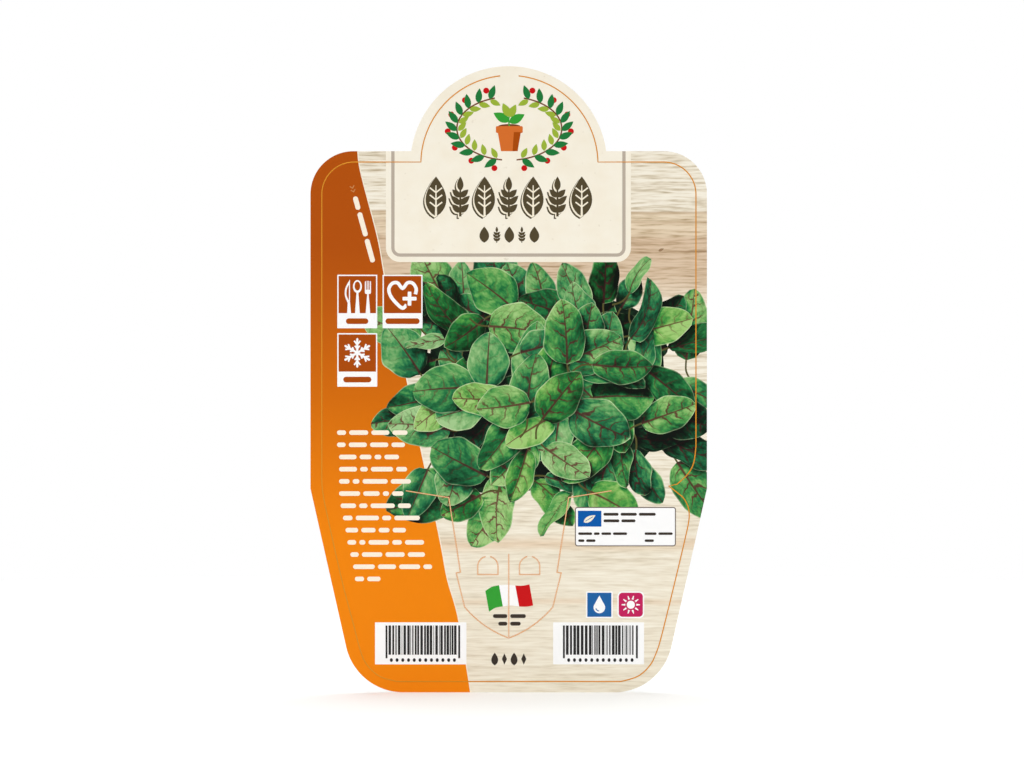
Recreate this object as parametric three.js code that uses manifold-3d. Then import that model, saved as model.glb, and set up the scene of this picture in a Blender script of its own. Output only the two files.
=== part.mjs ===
// Die-cut plastic plant pot label with a tongue that clips over the pot's rim.
// Millimetres, +Z up. The printed face looks towards -Y and +X is to the reader's right.
// The origin is the middle of the tongue's root, halfway through the sheet, where the pot's rim sits.

import * as THREE from 'three';
import { mergeVertices } from 'three/addons/utils/BufferGeometryUtils.js';
import Module from 'manifold-3d';

// Sheet stock and the die's cuts
const THICKNESS = 0.5;
const KERF = 0.3;

// Outer outline: a round arch on a wide body that tapers below the rim line
const LABEL_WIDTH = 133;
const ARCH_RADIUS = 33;
const ARCH_CENTRE_Z = 111.7;
const SHOULDER_Z = 116.2;
const SHOULDER_RADIUS = 14.4;
const TAPER_START_Z = 3;
const TAPER_ANGLE = THREE.MathUtils.degToRad(12.7);
const FOOT_Z = -65.3;
const FOOT_RADIUS = 19.5;

// Tongue: a shield shape with a barb on each side
const ROOT_WIDTH = 40.2;
const NECK_WIDTH = 32.4;
const NECK_Z = -25;
const BARB_WIDTH = 35.2;
const BARB_Z = -25.3;
const CHEEK_WIDTH = 29.6;
const CHEEK_Z = -36.7;
const TIP_Z = -47.1;
const TIP_ARC_RADIUS = 35;
const TIP_ARC_STEPS = 16;

// Cuts beside the root that let the sheet pass outside a round rim
const FLARE_END_X = 34.5;
const FLARE_END_Z = 2.3;

// Slit that splits the lower half of the tongue into two legs
const SLIT_TOP_Z = -18.9;

// Thumb-shaped press-out tabs, one on each leg, that hang by a nick at the top
const TAB_WIDTH = 6.8;
const TAB_X = 7;
const TAB_ARCH_Z = -23.1;
const TAB_FOOT_Z = -25.8;
const NICK_WIDTH = 1.5;

// How finely arcs are stepped, and how far a cutter runs past each face
const ARC_STEPS = 24;
const CUTTER_OVERRUN = 1;

const CUTTER_DEPTH = THICKNESS + 2 * CUTTER_OVERRUN;
const HALF_KERF = KERF / 2;

const wasm = await Module();
wasm.setup();

// Turns a closed three.js geometry into a solid for cutting
function toSolid(geometry) {
  geometry.deleteAttribute('normal');
  geometry.deleteAttribute('uv');
  const merged = mergeVertices(geometry);
  const mesh = new wasm.Mesh({
    numProp: 3,
    vertProperties: new Float32Array(merged.attributes.position.array),
    triVerts: new Uint32Array(merged.index.array),
  });
  return new wasm.Manifold(mesh);
}

// Turns a cut solid back into a three.js geometry
function toGeometry(solid) {
  const mesh = solid.getMesh();
  const geometry = new THREE.BufferGeometry();
  geometry.setAttribute('position', new THREE.BufferAttribute(mesh.vertProperties, 3));
  geometry.setIndex(new THREE.BufferAttribute(mesh.triVerts, 1));
  geometry.computeVertexNormals();
  return geometry;
}

// A flat shape drawn in X and Z, given a depth that is centred on the sheet's middle plane
function plate(shape, depth) {
  const geometry = new THREE.ExtrudeGeometry(shape, {
    depth,
    curveSegments: ARC_STEPS,
    bevelEnabled: false,
  });
  geometry.rotateX(Math.PI / 2);
  geometry.translate(0, depth / 2, 0);
  return toSolid(geometry);
}

// The label's outer edge, anticlockwise from the right foot
function outerShape() {
  const half = LABEL_WIDTH / 2;
  const drop = TAPER_START_Z - FOOT_Z;
  const footCorner = half - drop * Math.tan(TAPER_ANGLE);
  const footTangent = FOOT_RADIUS / Math.tan(Math.PI / 4 + TAPER_ANGLE / 2);
  const footX = footCorner - footTangent;
  const footCentreZ = FOOT_Z + FOOT_RADIUS;
  const shoulderX = half - SHOULDER_RADIUS;
  const shoulderCentreZ = SHOULDER_Z - SHOULDER_RADIUS;
  const archStart = Math.asin((SHOULDER_Z - ARCH_CENTRE_Z) / ARCH_RADIUS);

  const shape = new THREE.Shape();
  shape.absarc(footX, footCentreZ, FOOT_RADIUS, -Math.PI / 2, -TAPER_ANGLE, false);
  shape.lineTo(half, TAPER_START_Z);
  shape.absarc(shoulderX, shoulderCentreZ, SHOULDER_RADIUS, 0, Math.PI / 2, false);
  shape.absarc(0, ARCH_CENTRE_Z, ARCH_RADIUS, archStart, Math.PI - archStart, false);
  shape.absarc(-shoulderX, shoulderCentreZ, SHOULDER_RADIUS, Math.PI / 2, Math.PI, false);
  shape.lineTo(-half, TAPER_START_Z);
  shape.absarc(-footX, footCentreZ, FOOT_RADIUS, Math.PI + TAPER_ANGLE, 1.5 * Math.PI, false);
  shape.closePath();
  return shape;
}

// Points of the arc that bulges outwards from a cheek to the tip, on the right side
function tipArc() {
  const cheek = new THREE.Vector2(CHEEK_WIDTH / 2, CHEEK_Z);
  const tip = new THREE.Vector2(0, TIP_Z);
  const chord = tip.clone().sub(cheek);
  const middle = cheek.clone().add(tip).multiplyScalar(0.5);
  const inward = new THREE.Vector2(chord.y, -chord.x).normalize();
  const reach = Math.sqrt(TIP_ARC_RADIUS ** 2 - (chord.length() / 2) ** 2);
  const centre = middle.addScaledVector(inward, reach);
  const from = cheek.clone().sub(centre).angle();
  const to = tip.clone().sub(centre).angle();
  const points = [];
  for (let step = 0; step <= TIP_ARC_STEPS; step += 1) {
    const angle = from + ((to - from) * step) / TIP_ARC_STEPS;
    points.push(new THREE.Vector2(
      centre.x + TIP_ARC_RADIUS * Math.cos(angle),
      centre.y + TIP_ARC_RADIUS * Math.sin(angle),
    ));
  }
  return points;
}

// The tongue's cut line as an anticlockwise loop: left side down, then right side up
function tongueLoop() {
  const rightSide = [
    new THREE.Vector2(ROOT_WIDTH / 2, 0),
    new THREE.Vector2(NECK_WIDTH / 2, NECK_Z),
    new THREE.Vector2(BARB_WIDTH / 2, BARB_Z),
    ...tipArc(),
  ];
  const leftSide = rightSide.map((point) => new THREE.Vector2(-point.x, point.y));
  const rightSideUp = rightSide.slice(0, -1).reverse();
  return [...leftSide, ...rightSideUp];
}

// The same loop moved outwards, or inwards if the distance is negative, with mitred corners
function grown(loop, distance) {
  const count = loop.length;
  return loop.map((point, index) => {
    const before = point.clone().sub(loop[(index + count - 1) % count]).normalize();
    const after = loop[(index + 1) % count].clone().sub(point).normalize();
    const outBefore = new THREE.Vector2(before.y, -before.x);
    const outAfter = new THREE.Vector2(after.y, -after.x);
    const mitre = outBefore.clone().add(outAfter).normalize();
    return point.clone().addScaledVector(mitre, distance / mitre.dot(outAfter));
  });
}

// A straight band of the given width from one point to another
function bandShape(startX, startZ, endX, endZ, width) {
  const start = new THREE.Vector2(startX, startZ);
  const end = new THREE.Vector2(endX, endZ);
  const along = end.clone().sub(start).normalize();
  const side = new THREE.Vector2(-along.y, along.x).multiplyScalar(width / 2);
  return new THREE.Shape([
    start.clone().sub(side),
    end.clone().sub(side),
    end.clone().add(side),
    start.clone().add(side),
  ]);
}

// A press-out tab's outline: flat foot, straight sides and a round top
function tabShape(centreX, growth) {
  const radius = TAB_WIDTH / 2 + growth;
  const shape = new THREE.Shape();
  shape.moveTo(centreX - radius, TAB_FOOT_Z - growth);
  shape.lineTo(centreX + radius, TAB_FOOT_Z - growth);
  shape.absarc(centreX, TAB_ARCH_Z, radius, 0, Math.PI, false);
  shape.closePath();
  return shape;
}

// The cut round one press-out tab, open at the nick
function tabCut(centreX) {
  const nickTop = TAB_ARCH_Z + TAB_WIDTH;
  const ring = plate(tabShape(centreX, HALF_KERF), CUTTER_DEPTH)
    .subtract(plate(tabShape(centreX, -HALF_KERF), CUTTER_DEPTH));
  const nick = plate(
    bandShape(centreX, TAB_ARCH_Z, centreX, nickTop, NICK_WIDTH),
    CUTTER_DEPTH + 2 * CUTTER_OVERRUN,
  );
  return ring.subtract(nick);
}

// The printed sheet with the tongue's window and the two flare cuts
function labelSheet() {
  let sheet = plate(outerShape(), THICKNESS);
  sheet = sheet.subtract(plate(new THREE.Shape(grown(tongueLoop(), HALF_KERF)), CUTTER_DEPTH));
  for (const side of [-1, 1]) {
    const root = side * (ROOT_WIDTH / 2 - HALF_KERF);
    const flare = bandShape(root, 0, side * FLARE_END_X, FLARE_END_Z, KERF);
    sheet = sheet.subtract(plate(flare, CUTTER_DEPTH));
  }
  return sheet;
}

// The tongue, split into two legs, with a press-out tab in each
function rimTongue() {
  let tongue = plate(new THREE.Shape(grown(tongueLoop(), -HALF_KERF)), THICKNESS);
  const slit = bandShape(0, SLIT_TOP_Z, 0, TIP_Z - CUTTER_OVERRUN, KERF);
  tongue = tongue.subtract(plate(slit, CUTTER_DEPTH));
  for (const side of [-1, 1]) {
    tongue = tongue.subtract(tabCut(side * TAB_X));
  }
  return tongue;
}

function printedPlastic(color) {
  return new THREE.MeshStandardMaterial({ color, roughness: 0.45, metalness: 0, flatShading: true });
}

function namedMesh(name, solid, color) {
  const mesh = new THREE.Mesh(toGeometry(solid), printedPlastic(color));
  mesh.name = name;
  return mesh;
}

const label = new THREE.Group();
label.add(namedMesh('label_sheet', labelSheet(), 0xe3d7bf));

// The tongue turns about the root line, so it sits in a group of its own there
const tongueFold = new THREE.Group();
tongueFold.add(namedMesh('rim_tongue', rimTongue(), 0xd8cdb6));
label.add(tongueFold);

export default label;
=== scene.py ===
"""Printed die-cut pot label: its finish, its print and the studio round it.

The label is a flat sheet of white polypropylene. Its print is built as films of ink that lie side by side on
its front, so each printed shape has a crisp edge. Lengths are in millimetres in the label's plane, x to the
reader's right and z up, and a mesh is in metres. The printed face looks towards -Y.
"""

import logging
import random
from dataclasses import dataclass, field, replace
from enum import Enum
from functools import partial
from math import asin, atan2, copysign, cos, degrees, dist, pi, radians, sin, sqrt, tan
from typing import Callable, Mapping, Sequence

import bpy
import numpy as np
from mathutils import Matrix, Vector
from mathutils.geometry import delaunay_2d_cdt


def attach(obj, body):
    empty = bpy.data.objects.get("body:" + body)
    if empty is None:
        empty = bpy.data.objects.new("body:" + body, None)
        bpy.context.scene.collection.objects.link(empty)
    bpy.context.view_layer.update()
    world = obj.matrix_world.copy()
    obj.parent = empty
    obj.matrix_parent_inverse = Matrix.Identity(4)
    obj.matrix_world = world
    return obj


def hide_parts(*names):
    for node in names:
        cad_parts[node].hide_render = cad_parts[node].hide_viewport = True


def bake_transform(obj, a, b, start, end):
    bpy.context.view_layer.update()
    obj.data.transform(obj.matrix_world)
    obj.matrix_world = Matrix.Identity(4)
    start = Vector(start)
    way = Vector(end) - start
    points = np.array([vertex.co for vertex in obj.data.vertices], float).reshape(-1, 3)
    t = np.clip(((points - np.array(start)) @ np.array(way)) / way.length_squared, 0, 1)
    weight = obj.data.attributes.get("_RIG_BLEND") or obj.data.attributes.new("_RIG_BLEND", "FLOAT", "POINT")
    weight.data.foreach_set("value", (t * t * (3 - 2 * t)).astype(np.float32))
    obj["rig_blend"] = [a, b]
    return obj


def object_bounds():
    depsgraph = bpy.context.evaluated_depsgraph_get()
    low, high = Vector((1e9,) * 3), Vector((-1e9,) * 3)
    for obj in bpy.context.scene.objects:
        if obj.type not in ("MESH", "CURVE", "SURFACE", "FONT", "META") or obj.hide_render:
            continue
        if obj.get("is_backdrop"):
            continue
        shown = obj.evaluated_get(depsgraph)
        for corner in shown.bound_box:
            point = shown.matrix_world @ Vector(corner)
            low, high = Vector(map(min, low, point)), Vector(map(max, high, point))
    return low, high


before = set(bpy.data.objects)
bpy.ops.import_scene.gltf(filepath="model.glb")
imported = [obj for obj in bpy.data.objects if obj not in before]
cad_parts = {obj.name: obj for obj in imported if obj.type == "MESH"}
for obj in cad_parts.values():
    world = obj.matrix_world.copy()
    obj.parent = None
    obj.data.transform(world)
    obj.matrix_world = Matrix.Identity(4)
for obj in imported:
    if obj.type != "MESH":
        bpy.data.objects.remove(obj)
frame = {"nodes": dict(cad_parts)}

logging.basicConfig(level=logging.INFO, format="%(message)s")
LOG = logging.getLogger("pot_label")

Point = tuple[float, float]
Loop = list[Point]
Path = Sequence[Point]
Box = tuple[float, float, float, float]
Stops = Sequence[tuple[float, str]]
Piece = bpy.types.Object
Socket = bpy.types.NodeSocket
Value = float | int | Sequence[float] | Socket
NodeMaker = Callable[..., Socket]
NODE_FAMILIES = ("GeometryNode", "ShaderNode", "FunctionNode", "Node")
# A Mix node's inputs for colours, and a RandomValue node's for whole numbers
SHARE, FIRST, SECOND = 0, 6, 7
LEAST, MOST, SEED = 4, 5, 8

MM = 0.001
# Points nearer than this, in millimetres, are one point to the triangles
WELD = 1e-4


class Body(Enum):
    """The two moving bodies of the label, by their names in the frame."""

    SHEET = "sheet"
    TONGUE = "tongue"


class Slot(Enum):
    """The record's material slots."""

    SHEET = "printed_sheet"
    TONGUE = "printed_tongue"


NODE_OF = {Body.SHEET: "label_sheet", Body.TONGUE: "rim_tongue"}


def linear(hex_colour: str) -> tuple[float, float, float, float]:
    """Turns an sRGB colour such as "#F0E0C0" into a shader's linear one, with an alpha of 1."""
    parts = [int(hex_colour[i : i + 2], 16) / 255 for i in (1, 3, 5)]
    return (*(c / 12.92 if c <= 0.04045 else ((c + 0.055) / 1.055) ** 2.4 for c in parts), 1.0)


def add_node(
    tree: bpy.types.NodeTree,
    kind: str,
    inputs: Mapping[int | str, Value | list[Value]] | Sequence[Value] = (),
    out: str | None = None,
    **settings: object,
) -> Socket | None:
    """Adds a node with its settings, and links or sets its inputs.

    Args:
        tree, kind: the node tree, and the node's type without its family, or a Math operation in capitals.
        inputs: by name, by number or in order, a socket, a constant or a list of sockets.
        out: the wanted output, or None for the first one in use.
        **settings: the node's own properties.

    Returns:
        That output, whose .node is the new node, or None where the node has none.
    """
    if kind.isupper():
        kind, settings = "Math", {"operation": kind}
    node = tree.nodes.new(next(f for f in NODE_FAMILIES if hasattr(bpy.types, f + kind)) + kind)
    for name, value in settings.items():
        setattr(node, name, value)
    for key, value in inputs.items() if isinstance(inputs, Mapping) else enumerate(inputs):
        for item in value if isinstance(value, list) else [value]:
            if isinstance(item, Socket):
                tree.links.new(item, node.inputs[key])
            else:
                node.inputs[key].default_value = item
    return node.outputs[out] if out else next((s for s in node.outputs if s.enabled), None)


def set_stops(ramp: Socket, stops: Stops) -> Socket:
    """Gives a colour ramp its stops.

    Args:
        ramp, stops: the ramp's colour output, and each stop's place from 0 to 1 and sRGB colour.

    Returns:
        The same output.
    """
    elements = ramp.node.color_ramp.elements
    while len(elements) < len(stops):
        elements.new(0.5)
    for element, (place, colour) in zip(elements, stops):
        element.position = place
        element.color = linear(colour)
    return ramp


# Flat shapes


def arc(centre: Point, radius: float, start: float, end: float, steps: int) -> Loop:
    """Points on a circle's arc, both ends included, with its angles in degrees from +x, anticlockwise."""
    angles = [radians(start + (end - start) * i / steps) for i in range(steps + 1)]
    return [(centre[0] + radius * cos(a), centre[1] + radius * sin(a)) for a in angles]


def rounded_box(left: float, bottom: float, right: float, top: float, radius: float, steps: int = 6) -> Loop:
    """An upright box with round corners.

    Args:
        left, bottom, right, top: its sides.
        radius, steps: the corners' radius, and how many pieces each one has.

    Returns:
        Its loop, anticlockwise.
    """
    west, south, east, north = left + radius, bottom + radius, right - radius, top - radius
    corners = zip(((east, south), (east, north), (west, north), (west, south)), (-90, 0, 90, 180))
    return [point for centre, start in corners for point in arc(centre, radius, start, start + 90, steps)]


def smooth_path(points: Path, steps: int) -> Loop:
    """A curve through the given points.

    Args:
        points, steps: the points, and how many pieces lie between two of them.

    Returns:
        The curve.
    """
    padded = np.array([points[0], *points, points[-1]], float)[:, None]
    a, b, c, d = padded[:-3], padded[1:-2], padded[2:-1], padded[3:]
    t = np.arange(steps)[None, :, None] / steps
    path = 0.5 * (2 * b + (c - a) * t + (2 * a - 5 * b + 4 * c - d) * t * t + (3 * b - a - 3 * c + d) * t**3)
    return [*map(tuple, path.reshape(-1, 2).tolist()), tuple(points[-1])]


def offset_path(path: Path, distance: float) -> Loop:
    """An open path moved to its left, with mitred corners.

    Args:
        path, distance: the path, and how far it moves.

    Returns:
        The moved path.
    """
    line = np.array(path, float)
    along = np.diff(line, axis=0)
    along /= np.linalg.norm(along, axis=1)[:, None]
    before = np.vstack([along[:1], along])
    after = np.vstack([along, along[-1:]])
    left_before = np.stack([-before[:, 1], before[:, 0]], axis=1)
    left_after = np.stack([-after[:, 1], after[:, 0]], axis=1)
    mitre = left_before + left_after
    mitre /= np.linalg.norm(mitre, axis=1)[:, None]
    reach = distance / np.einsum("ij,ij->i", mitre, left_after)
    return [tuple(p) for p in line + mitre * reach[:, None]]


def stroke(path: Path, width: float) -> Loop:
    """The outline of a line of the given width along an open path."""
    return offset_path(path, -width / 2) + offset_path(path, width / 2)[::-1]


def inside(points: np.ndarray, loop: Path) -> np.ndarray:
    """Says which points lie inside a loop.

    Args:
        points, loop: the points, one a row, and a closed loop.

    Returns:
        True or False for each point.
    """
    ring = np.array(loop, float)
    result = np.zeros(len(points), bool)
    low, high = ring.min(0), ring.max(0)
    near = np.flatnonzero(np.all((points >= low) & (points <= high), axis=1))
    if not len(near):
        return result
    x, z = points[near, 0][:, None], points[near, 1][:, None]
    x0, z0 = ring[:, 0], ring[:, 1]
    x1, z1 = np.roll(x0, -1), np.roll(z0, -1)
    rise = np.where(z1 == z0, 1e-12, z1 - z0)
    crosses = ((z0 > z) != (z1 > z)) & (x < (x1 - x0) * (z - z0) / rise + x0)
    result[near] = (crosses * np.where(z1 > z0, 1, -1)).sum(1) != 0
    return result


def triangulate(loops: Sequence[Path], lines: Sequence[Path] = (), spots: Path = ()) -> list[np.ndarray]:
    """Triangulates the plane so that no triangle crosses a loop or a line.

    Args:
        loops, lines, spots: closed loops, the ends of further lines, and further points to meet at.

    Returns:
        The points and the triangles, as the numbers of their points.
    """
    corners: Loop = []
    edges: list[tuple[int, int]] = []
    for loop in loops:
        first, last = len(corners), len(corners) + len(loop) - 1
        edges += [(i, i + 1) for i in range(first, last)] + [(last, first)]
        corners += loop
    for line in lines:
        edges.append((len(corners), len(corners) + 1))
        corners += line
    corners += spots
    points, _, triangles, *_ = delaunay_2d_cdt([Vector(p) for p in corners], edges, [], 0, WELD)
    return [np.array([tuple(p) for p in points], float), np.array(triangles)]


def blade_shape(foot: Point, length: float, width: float, heading: float, steps: int = 10) -> Loop:
    """A plain leaf shape, round at the foot and pointed at the tip.

    Args:
        foot, length, width: where the blade starts, and its length and greatest width.
        heading, steps: the way the tip points, in degrees from +x, and how many pieces each side has.

    Returns:
        The leaf's loop.
    """
    turn = radians(heading)
    ahead, left = (cos(turn), sin(turn)), (-sin(turn), cos(turn))
    loop = []
    for i in range(2 * steps):
        share, side = (i / steps, 1) if i <= steps else (2 - i / steps, -1)
        out = side * width / 2 * sin(pi * share**0.8) ** 0.9 if 0 < share < 1 else 0.0
        loop.append(tuple(foot[k] + ahead[k] * length * share - left[k] * out for k in (0, 1)))
    return loop


def ellipse(centre: Point, half_width: float, half_height: float, steps: int = 32) -> Loop:
    """A closed ellipse."""
    turns = [2 * pi * i / steps for i in range(steps)]
    return [(centre[0] + half_width * cos(a), centre[1] + half_height * sin(a)) for a in turns]


def moved(loop: Path, by: Point, turn: float = 0.0) -> Loop:
    """A loop, turned about the origin by an angle in radians and then moved."""
    cosine, sine = cos(turn), sin(turn)
    return [(by[0] + x * cosine - z * sine, by[1] + x * sine + z * cosine) for x, z in loop]


@dataclass(frozen=True)
class DieLine:
    """The cutting die: the label's outline and the cuts of the tongue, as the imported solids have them."""

    width: float = 133.0
    arch_radius: float = 33.0
    arch_centre_z: float = 111.7
    shoulder_z: float = 116.2
    shoulder_radius: float = 14.4
    taper_start_z: float = 3.0
    taper_angle: float = 12.7
    foot_z: float = -65.3
    foot_radius: float = 19.5
    root_width: float = 40.2
    neck: Point = (16.2, -25.0)
    barb: Point = (17.6, -25.3)
    cheek: Point = (14.8, -36.7)
    tip_z: float = -47.1
    tip_arc_radius: float = 35.0
    flare_end: Point = (34.5, 2.3)
    slit_top_z: float = -18.9
    tab_width: float = 6.8
    tab_x: float = 7.0
    tab_arch_z: float = -23.1
    tab_foot_z: float = -25.8
    nick_width: float = 1.5
    arc_steps: int = 48
    kerf: float = 0.08
    bend_length: float = 5.0
    bend_rows: int = 10

    def outline(self) -> Loop:
        """The label's outer edge, anticlockwise from the right foot."""
        half, tilt = self.width / 2, radians(self.taper_angle)
        corner = half - (self.taper_start_z - self.foot_z) * tan(tilt)
        foot = (corner - self.foot_radius / tan(pi / 4 + tilt / 2), self.foot_z + self.foot_radius)
        shoulder = (half - self.shoulder_radius, self.shoulder_z - self.shoulder_radius)
        spring = degrees(asin((self.shoulder_z - self.arch_centre_z) / self.arch_radius))
        right = arc(foot, self.foot_radius, -90, -self.taper_angle, self.arc_steps // 2)
        right.append((half, self.taper_start_z))
        right += arc(shoulder, self.shoulder_radius, 0, 90, self.arc_steps)
        head = arc((0, self.arch_centre_z), self.arch_radius, spring, 180 - spring, 2 * self.arc_steps)
        return right + head + [(-x, z) for x, z in reversed(right)]

    def tip_arc(self) -> Loop:
        """The arc from the right cheek to the tongue's tip."""
        cheek, tip = np.array(self.cheek), np.array([0.0, self.tip_z])
        chord = tip - cheek
        length = float(np.linalg.norm(chord))
        inward = np.array([chord[1], -chord[0]]) / length
        centre = (cheek + tip) / 2 + inward * sqrt(self.tip_arc_radius**2 - length**2 / 4)
        start = degrees(atan2(*(cheek - centre)[::-1]))
        end = degrees(atan2(*(tip - centre)[::-1]))
        return arc(tuple(centre), self.tip_arc_radius, start, end, self.arc_steps // 2)

    def tongue(self) -> Loop:
        """The tongue's outline, from the root's left end down to the tip and up to the root's right end."""
        right = [(self.root_width / 2, 0.0), self.neck, self.barb, *self.tip_arc()]
        return [(-x, z) for x, z in right] + right[-2::-1]

    def cuts(self) -> list[Loop]:
        """The middle line of each cut: the tongue with its flares, the slit, and the two press-out tabs."""
        around = [(-self.flare_end[0], self.flare_end[1]), *self.tongue(), self.flare_end]
        slit = [(0.0, self.slit_top_z), (0.0, self.tip_z)]
        radius, steps, tabs = self.tab_width / 2, self.arc_steps // 4, []
        half_nick = degrees(asin(self.nick_width / 2 / radius))
        for x in (-self.tab_x, self.tab_x):
            left = arc((x, self.tab_arch_z), radius, 90 + half_nick, 180, steps)
            foot = [(x - radius, self.tab_foot_z), (x + radius, self.tab_foot_z)]
            tabs.append(left + foot + arc((x, self.tab_arch_z), radius, 0, 90 - half_nick, steps))
        return [around, slit, *tabs]

    def rows(self) -> list[tuple[Point, Point]]:
        """Level lines across the tongue's root, along which its strip of sheet bends."""
        half, step = self.root_width / 2, self.bend_length / self.bend_rows
        return [((-half, -step * i), (half, -step * i)) for i in range(1, self.bend_rows + 1)]


@dataclass(frozen=True)
class Level:
    """Where a layer of the label lies through its thickness, in millimetres on the Y axis."""

    front: float
    back: float


STOCK_LEVEL = Level(-0.2, 0.25)
FILM_LEVEL = Level(-0.215, -0.2)
# Each overprint sinks into the film, and where two cross, one stands a little prouder than the other
UNDER_LEVEL = Level(-0.225, -0.21)
MIDDLE_LEVEL = Level(-0.2375, -0.21)
OVER_LEVEL = Level(-0.25, -0.21)


@dataclass
class Patch:
    """A flat triangulated region: its points and its triangles."""

    points: np.ndarray
    triangles: np.ndarray


@dataclass
class FlatMap:
    """Regions of the label's plane, laid over each other and cut so that only the topmost one is left."""

    die: DieLine
    laid: list[tuple[str, Path]] = field(default_factory=list)
    spots: list[Point] = field(default_factory=list)
    finishes: dict[str, "Finish"] = field(default_factory=dict)

    def lay(self, name: str, finish: "Finish", *loops: Path) -> None:
        """Lays a region over all the earlier ones.

        Args:
            name, finish, *loops: the region's name, which several loops may share, finish and outlines.
        """
        self.finishes[name] = finish
        self.laid += [(name, loop) for loop in loops]

    def solve(self) -> dict[tuple[str, Body], Patch]:
        """Cuts all the regions against each other and the die's cuts.

        Returns:
            Each region's patch on each body, where it has one.
        """
        cuts = [stroke(path, self.die.kerf) for path in self.die.cuts()]
        die = [self.die.outline(), self.die.tongue(), *cuts]
        loops = [*die, *[loop for _, loop in self.laid]]
        points, triangles = triangulate(loops, self.die.rows(), self.spots)
        centres = points[triangles].mean(1)
        printed = inside(centres, die[0])
        for cut in cuts:
            printed &= ~inside(centres, cut)
        on_tongue = inside(centres, die[1])
        top = np.full(len(centres), -1)
        names = list(self.finishes)
        for name, loop in self.laid:
            top[inside(centres, loop)] = names.index(name)
        patches = {}
        for number, name in enumerate(names):
            for body, side in ((Body.SHEET, ~on_tongue), (Body.TONGUE, on_tongue)):
                kept = printed & side & (top == number)
                if kept.any():
                    patches[name, body] = self.patch(points, triangles[kept])
        return patches

    @staticmethod
    def patch(places: np.ndarray, triangles: np.ndarray) -> Patch:
        """The patch of some triangles, with only the points that they use."""
        used, renumbered = np.unique(triangles, return_inverse=True)
        return Patch(places[used], renumbered.reshape(triangles.shape))


def flat_patch(solids: Sequence[Path], holes: Sequence[Path] = ()) -> Patch:
    """The region inside any of some loops and outside all of some others.

    Args:
        solids, holes: the loops that hold the region, and those cut out of it.

    Returns:
        The region.
    """
    points, triangles = triangulate([*solids, *holes])
    centres = points[triangles].mean(1)
    kept = np.any([inside(centres, loop) for loop in solids], axis=0)
    for loop in holes:
        kept &= ~inside(centres, loop)
    return FlatMap.patch(points, triangles[kept])


def slab(name: str, patch: Patch, level: Level, finish: "Finish") -> Piece:
    """A closed flat solid with a patch as its front and back face.

    Args:
        name, patch: the object's name, and its region of the label's plane.
        level, finish: where its two faces lie, and its finish.

    Returns:
        The new object.
    """
    count, tris = len(patch.points), patch.triangles
    places = np.insert(np.vstack([patch.points] * 2), 1, level.front, axis=1)
    places[count:, 1] = level.back
    sides = np.vstack([tris[:, [0, 1]], tris[:, [1, 2]], tris[:, [2, 0]]])
    known = {(int(a), int(b)) for a, b in sides}
    rim = [(a, b) for a, b in known if (b, a) not in known]
    walls = [(b, a, a + count, b + count) for a, b in sorted(rim)]
    faces = [*tris.tolist(), *(tris[:, ::-1] + count).tolist()]
    mesh = bpy.data.meshes.new(name)
    mesh.from_pydata((places * MM).tolist(), [], faces + walls)
    mesh.update()
    mesh.materials.append(finish.material())
    return linked(name, mesh)


def join_body(piece: Piece, body: Body, die: DieLine) -> None:
    """Fixes a finished piece to its body, and bends what crosses the tongue's root.

    Args:
        piece, body, die: the piece, its body, and the die, which says where the root bends.
    """
    if body is Body.SHEET:
        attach(piece, body.value)
    else:
        end = (0.0, 0.0, -die.bend_length * MM)
        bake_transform(piece, Body.SHEET.value, Body.TONGUE.value, start=(0.0, 0.0, 0.0), end=end)
    LOG.info("%s: %d faces on %s", piece.name, len(piece.data.polygons), body.value)


# Finishes


@dataclass(frozen=True)
class Finish:
    """A printed surface, or the bare sheet, as a named material."""

    name: str

    def material(self) -> bpy.types.Material:
        """The finish's material, which is made the first time it is asked for."""
        material = bpy.data.materials.get(self.name)
        if not material:
            material = bpy.data.materials.new(self.name)
            material.use_nodes = True
            material.node_tree.nodes.clear()
            self.paint(partial(add_node, material.node_tree))
        return material

    def paint(self, node: NodeMaker) -> None:
        """Adds the finish's nodes to its empty tree."""


@dataclass(frozen=True)
class Varnish:
    """The satin varnish over the whole print: a faint ripple and a sheen that is never quite even."""

    roughness: float = 0.4
    spread: float = 0.07
    ripple_mm: float = 0.7
    bump: float = 0.05
    relief_mm: float = 0.01
    ior: float = 1.45
    shine: float = 0.15

    def coat(self, node: NodeMaker, colour: Value) -> None:
        """Ends a tree with the varnished print.

        Args:
            node, colour: adds a node to the tree, and the print's colour under the varnish.
        """
        place = node("TexCoord", out="Object")
        ripple = node("TexNoise", {"Vector": place, "Scale": 1 / (self.ripple_mm * MM), "Detail": 2.0})
        least, most = self.roughness - self.spread, self.roughness + self.spread
        sheen = node("MapRange", [ripple, 0.0, 1.0, least, most])
        relief = {"Height": ripple, "Strength": self.bump, "Distance": self.relief_mm * MM}
        surface = {"Base Color": colour, "Roughness": sheen, "Normal": node("Bump", relief)}
        surface |= {"IOR": self.ior, "Specular IOR Level": self.shine}
        node("OutputMaterial", {"Surface": node("BsdfPrincipled", surface)})


@dataclass(frozen=True)
class Ink(Finish):
    """One flat printed colour under the varnish."""

    colour: str = "#FFFFFF"

    def paint(self, node: NodeMaker) -> None:
        """Varnishes the flat colour."""
        Varnish().coat(node, linear(self.colour))


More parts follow.
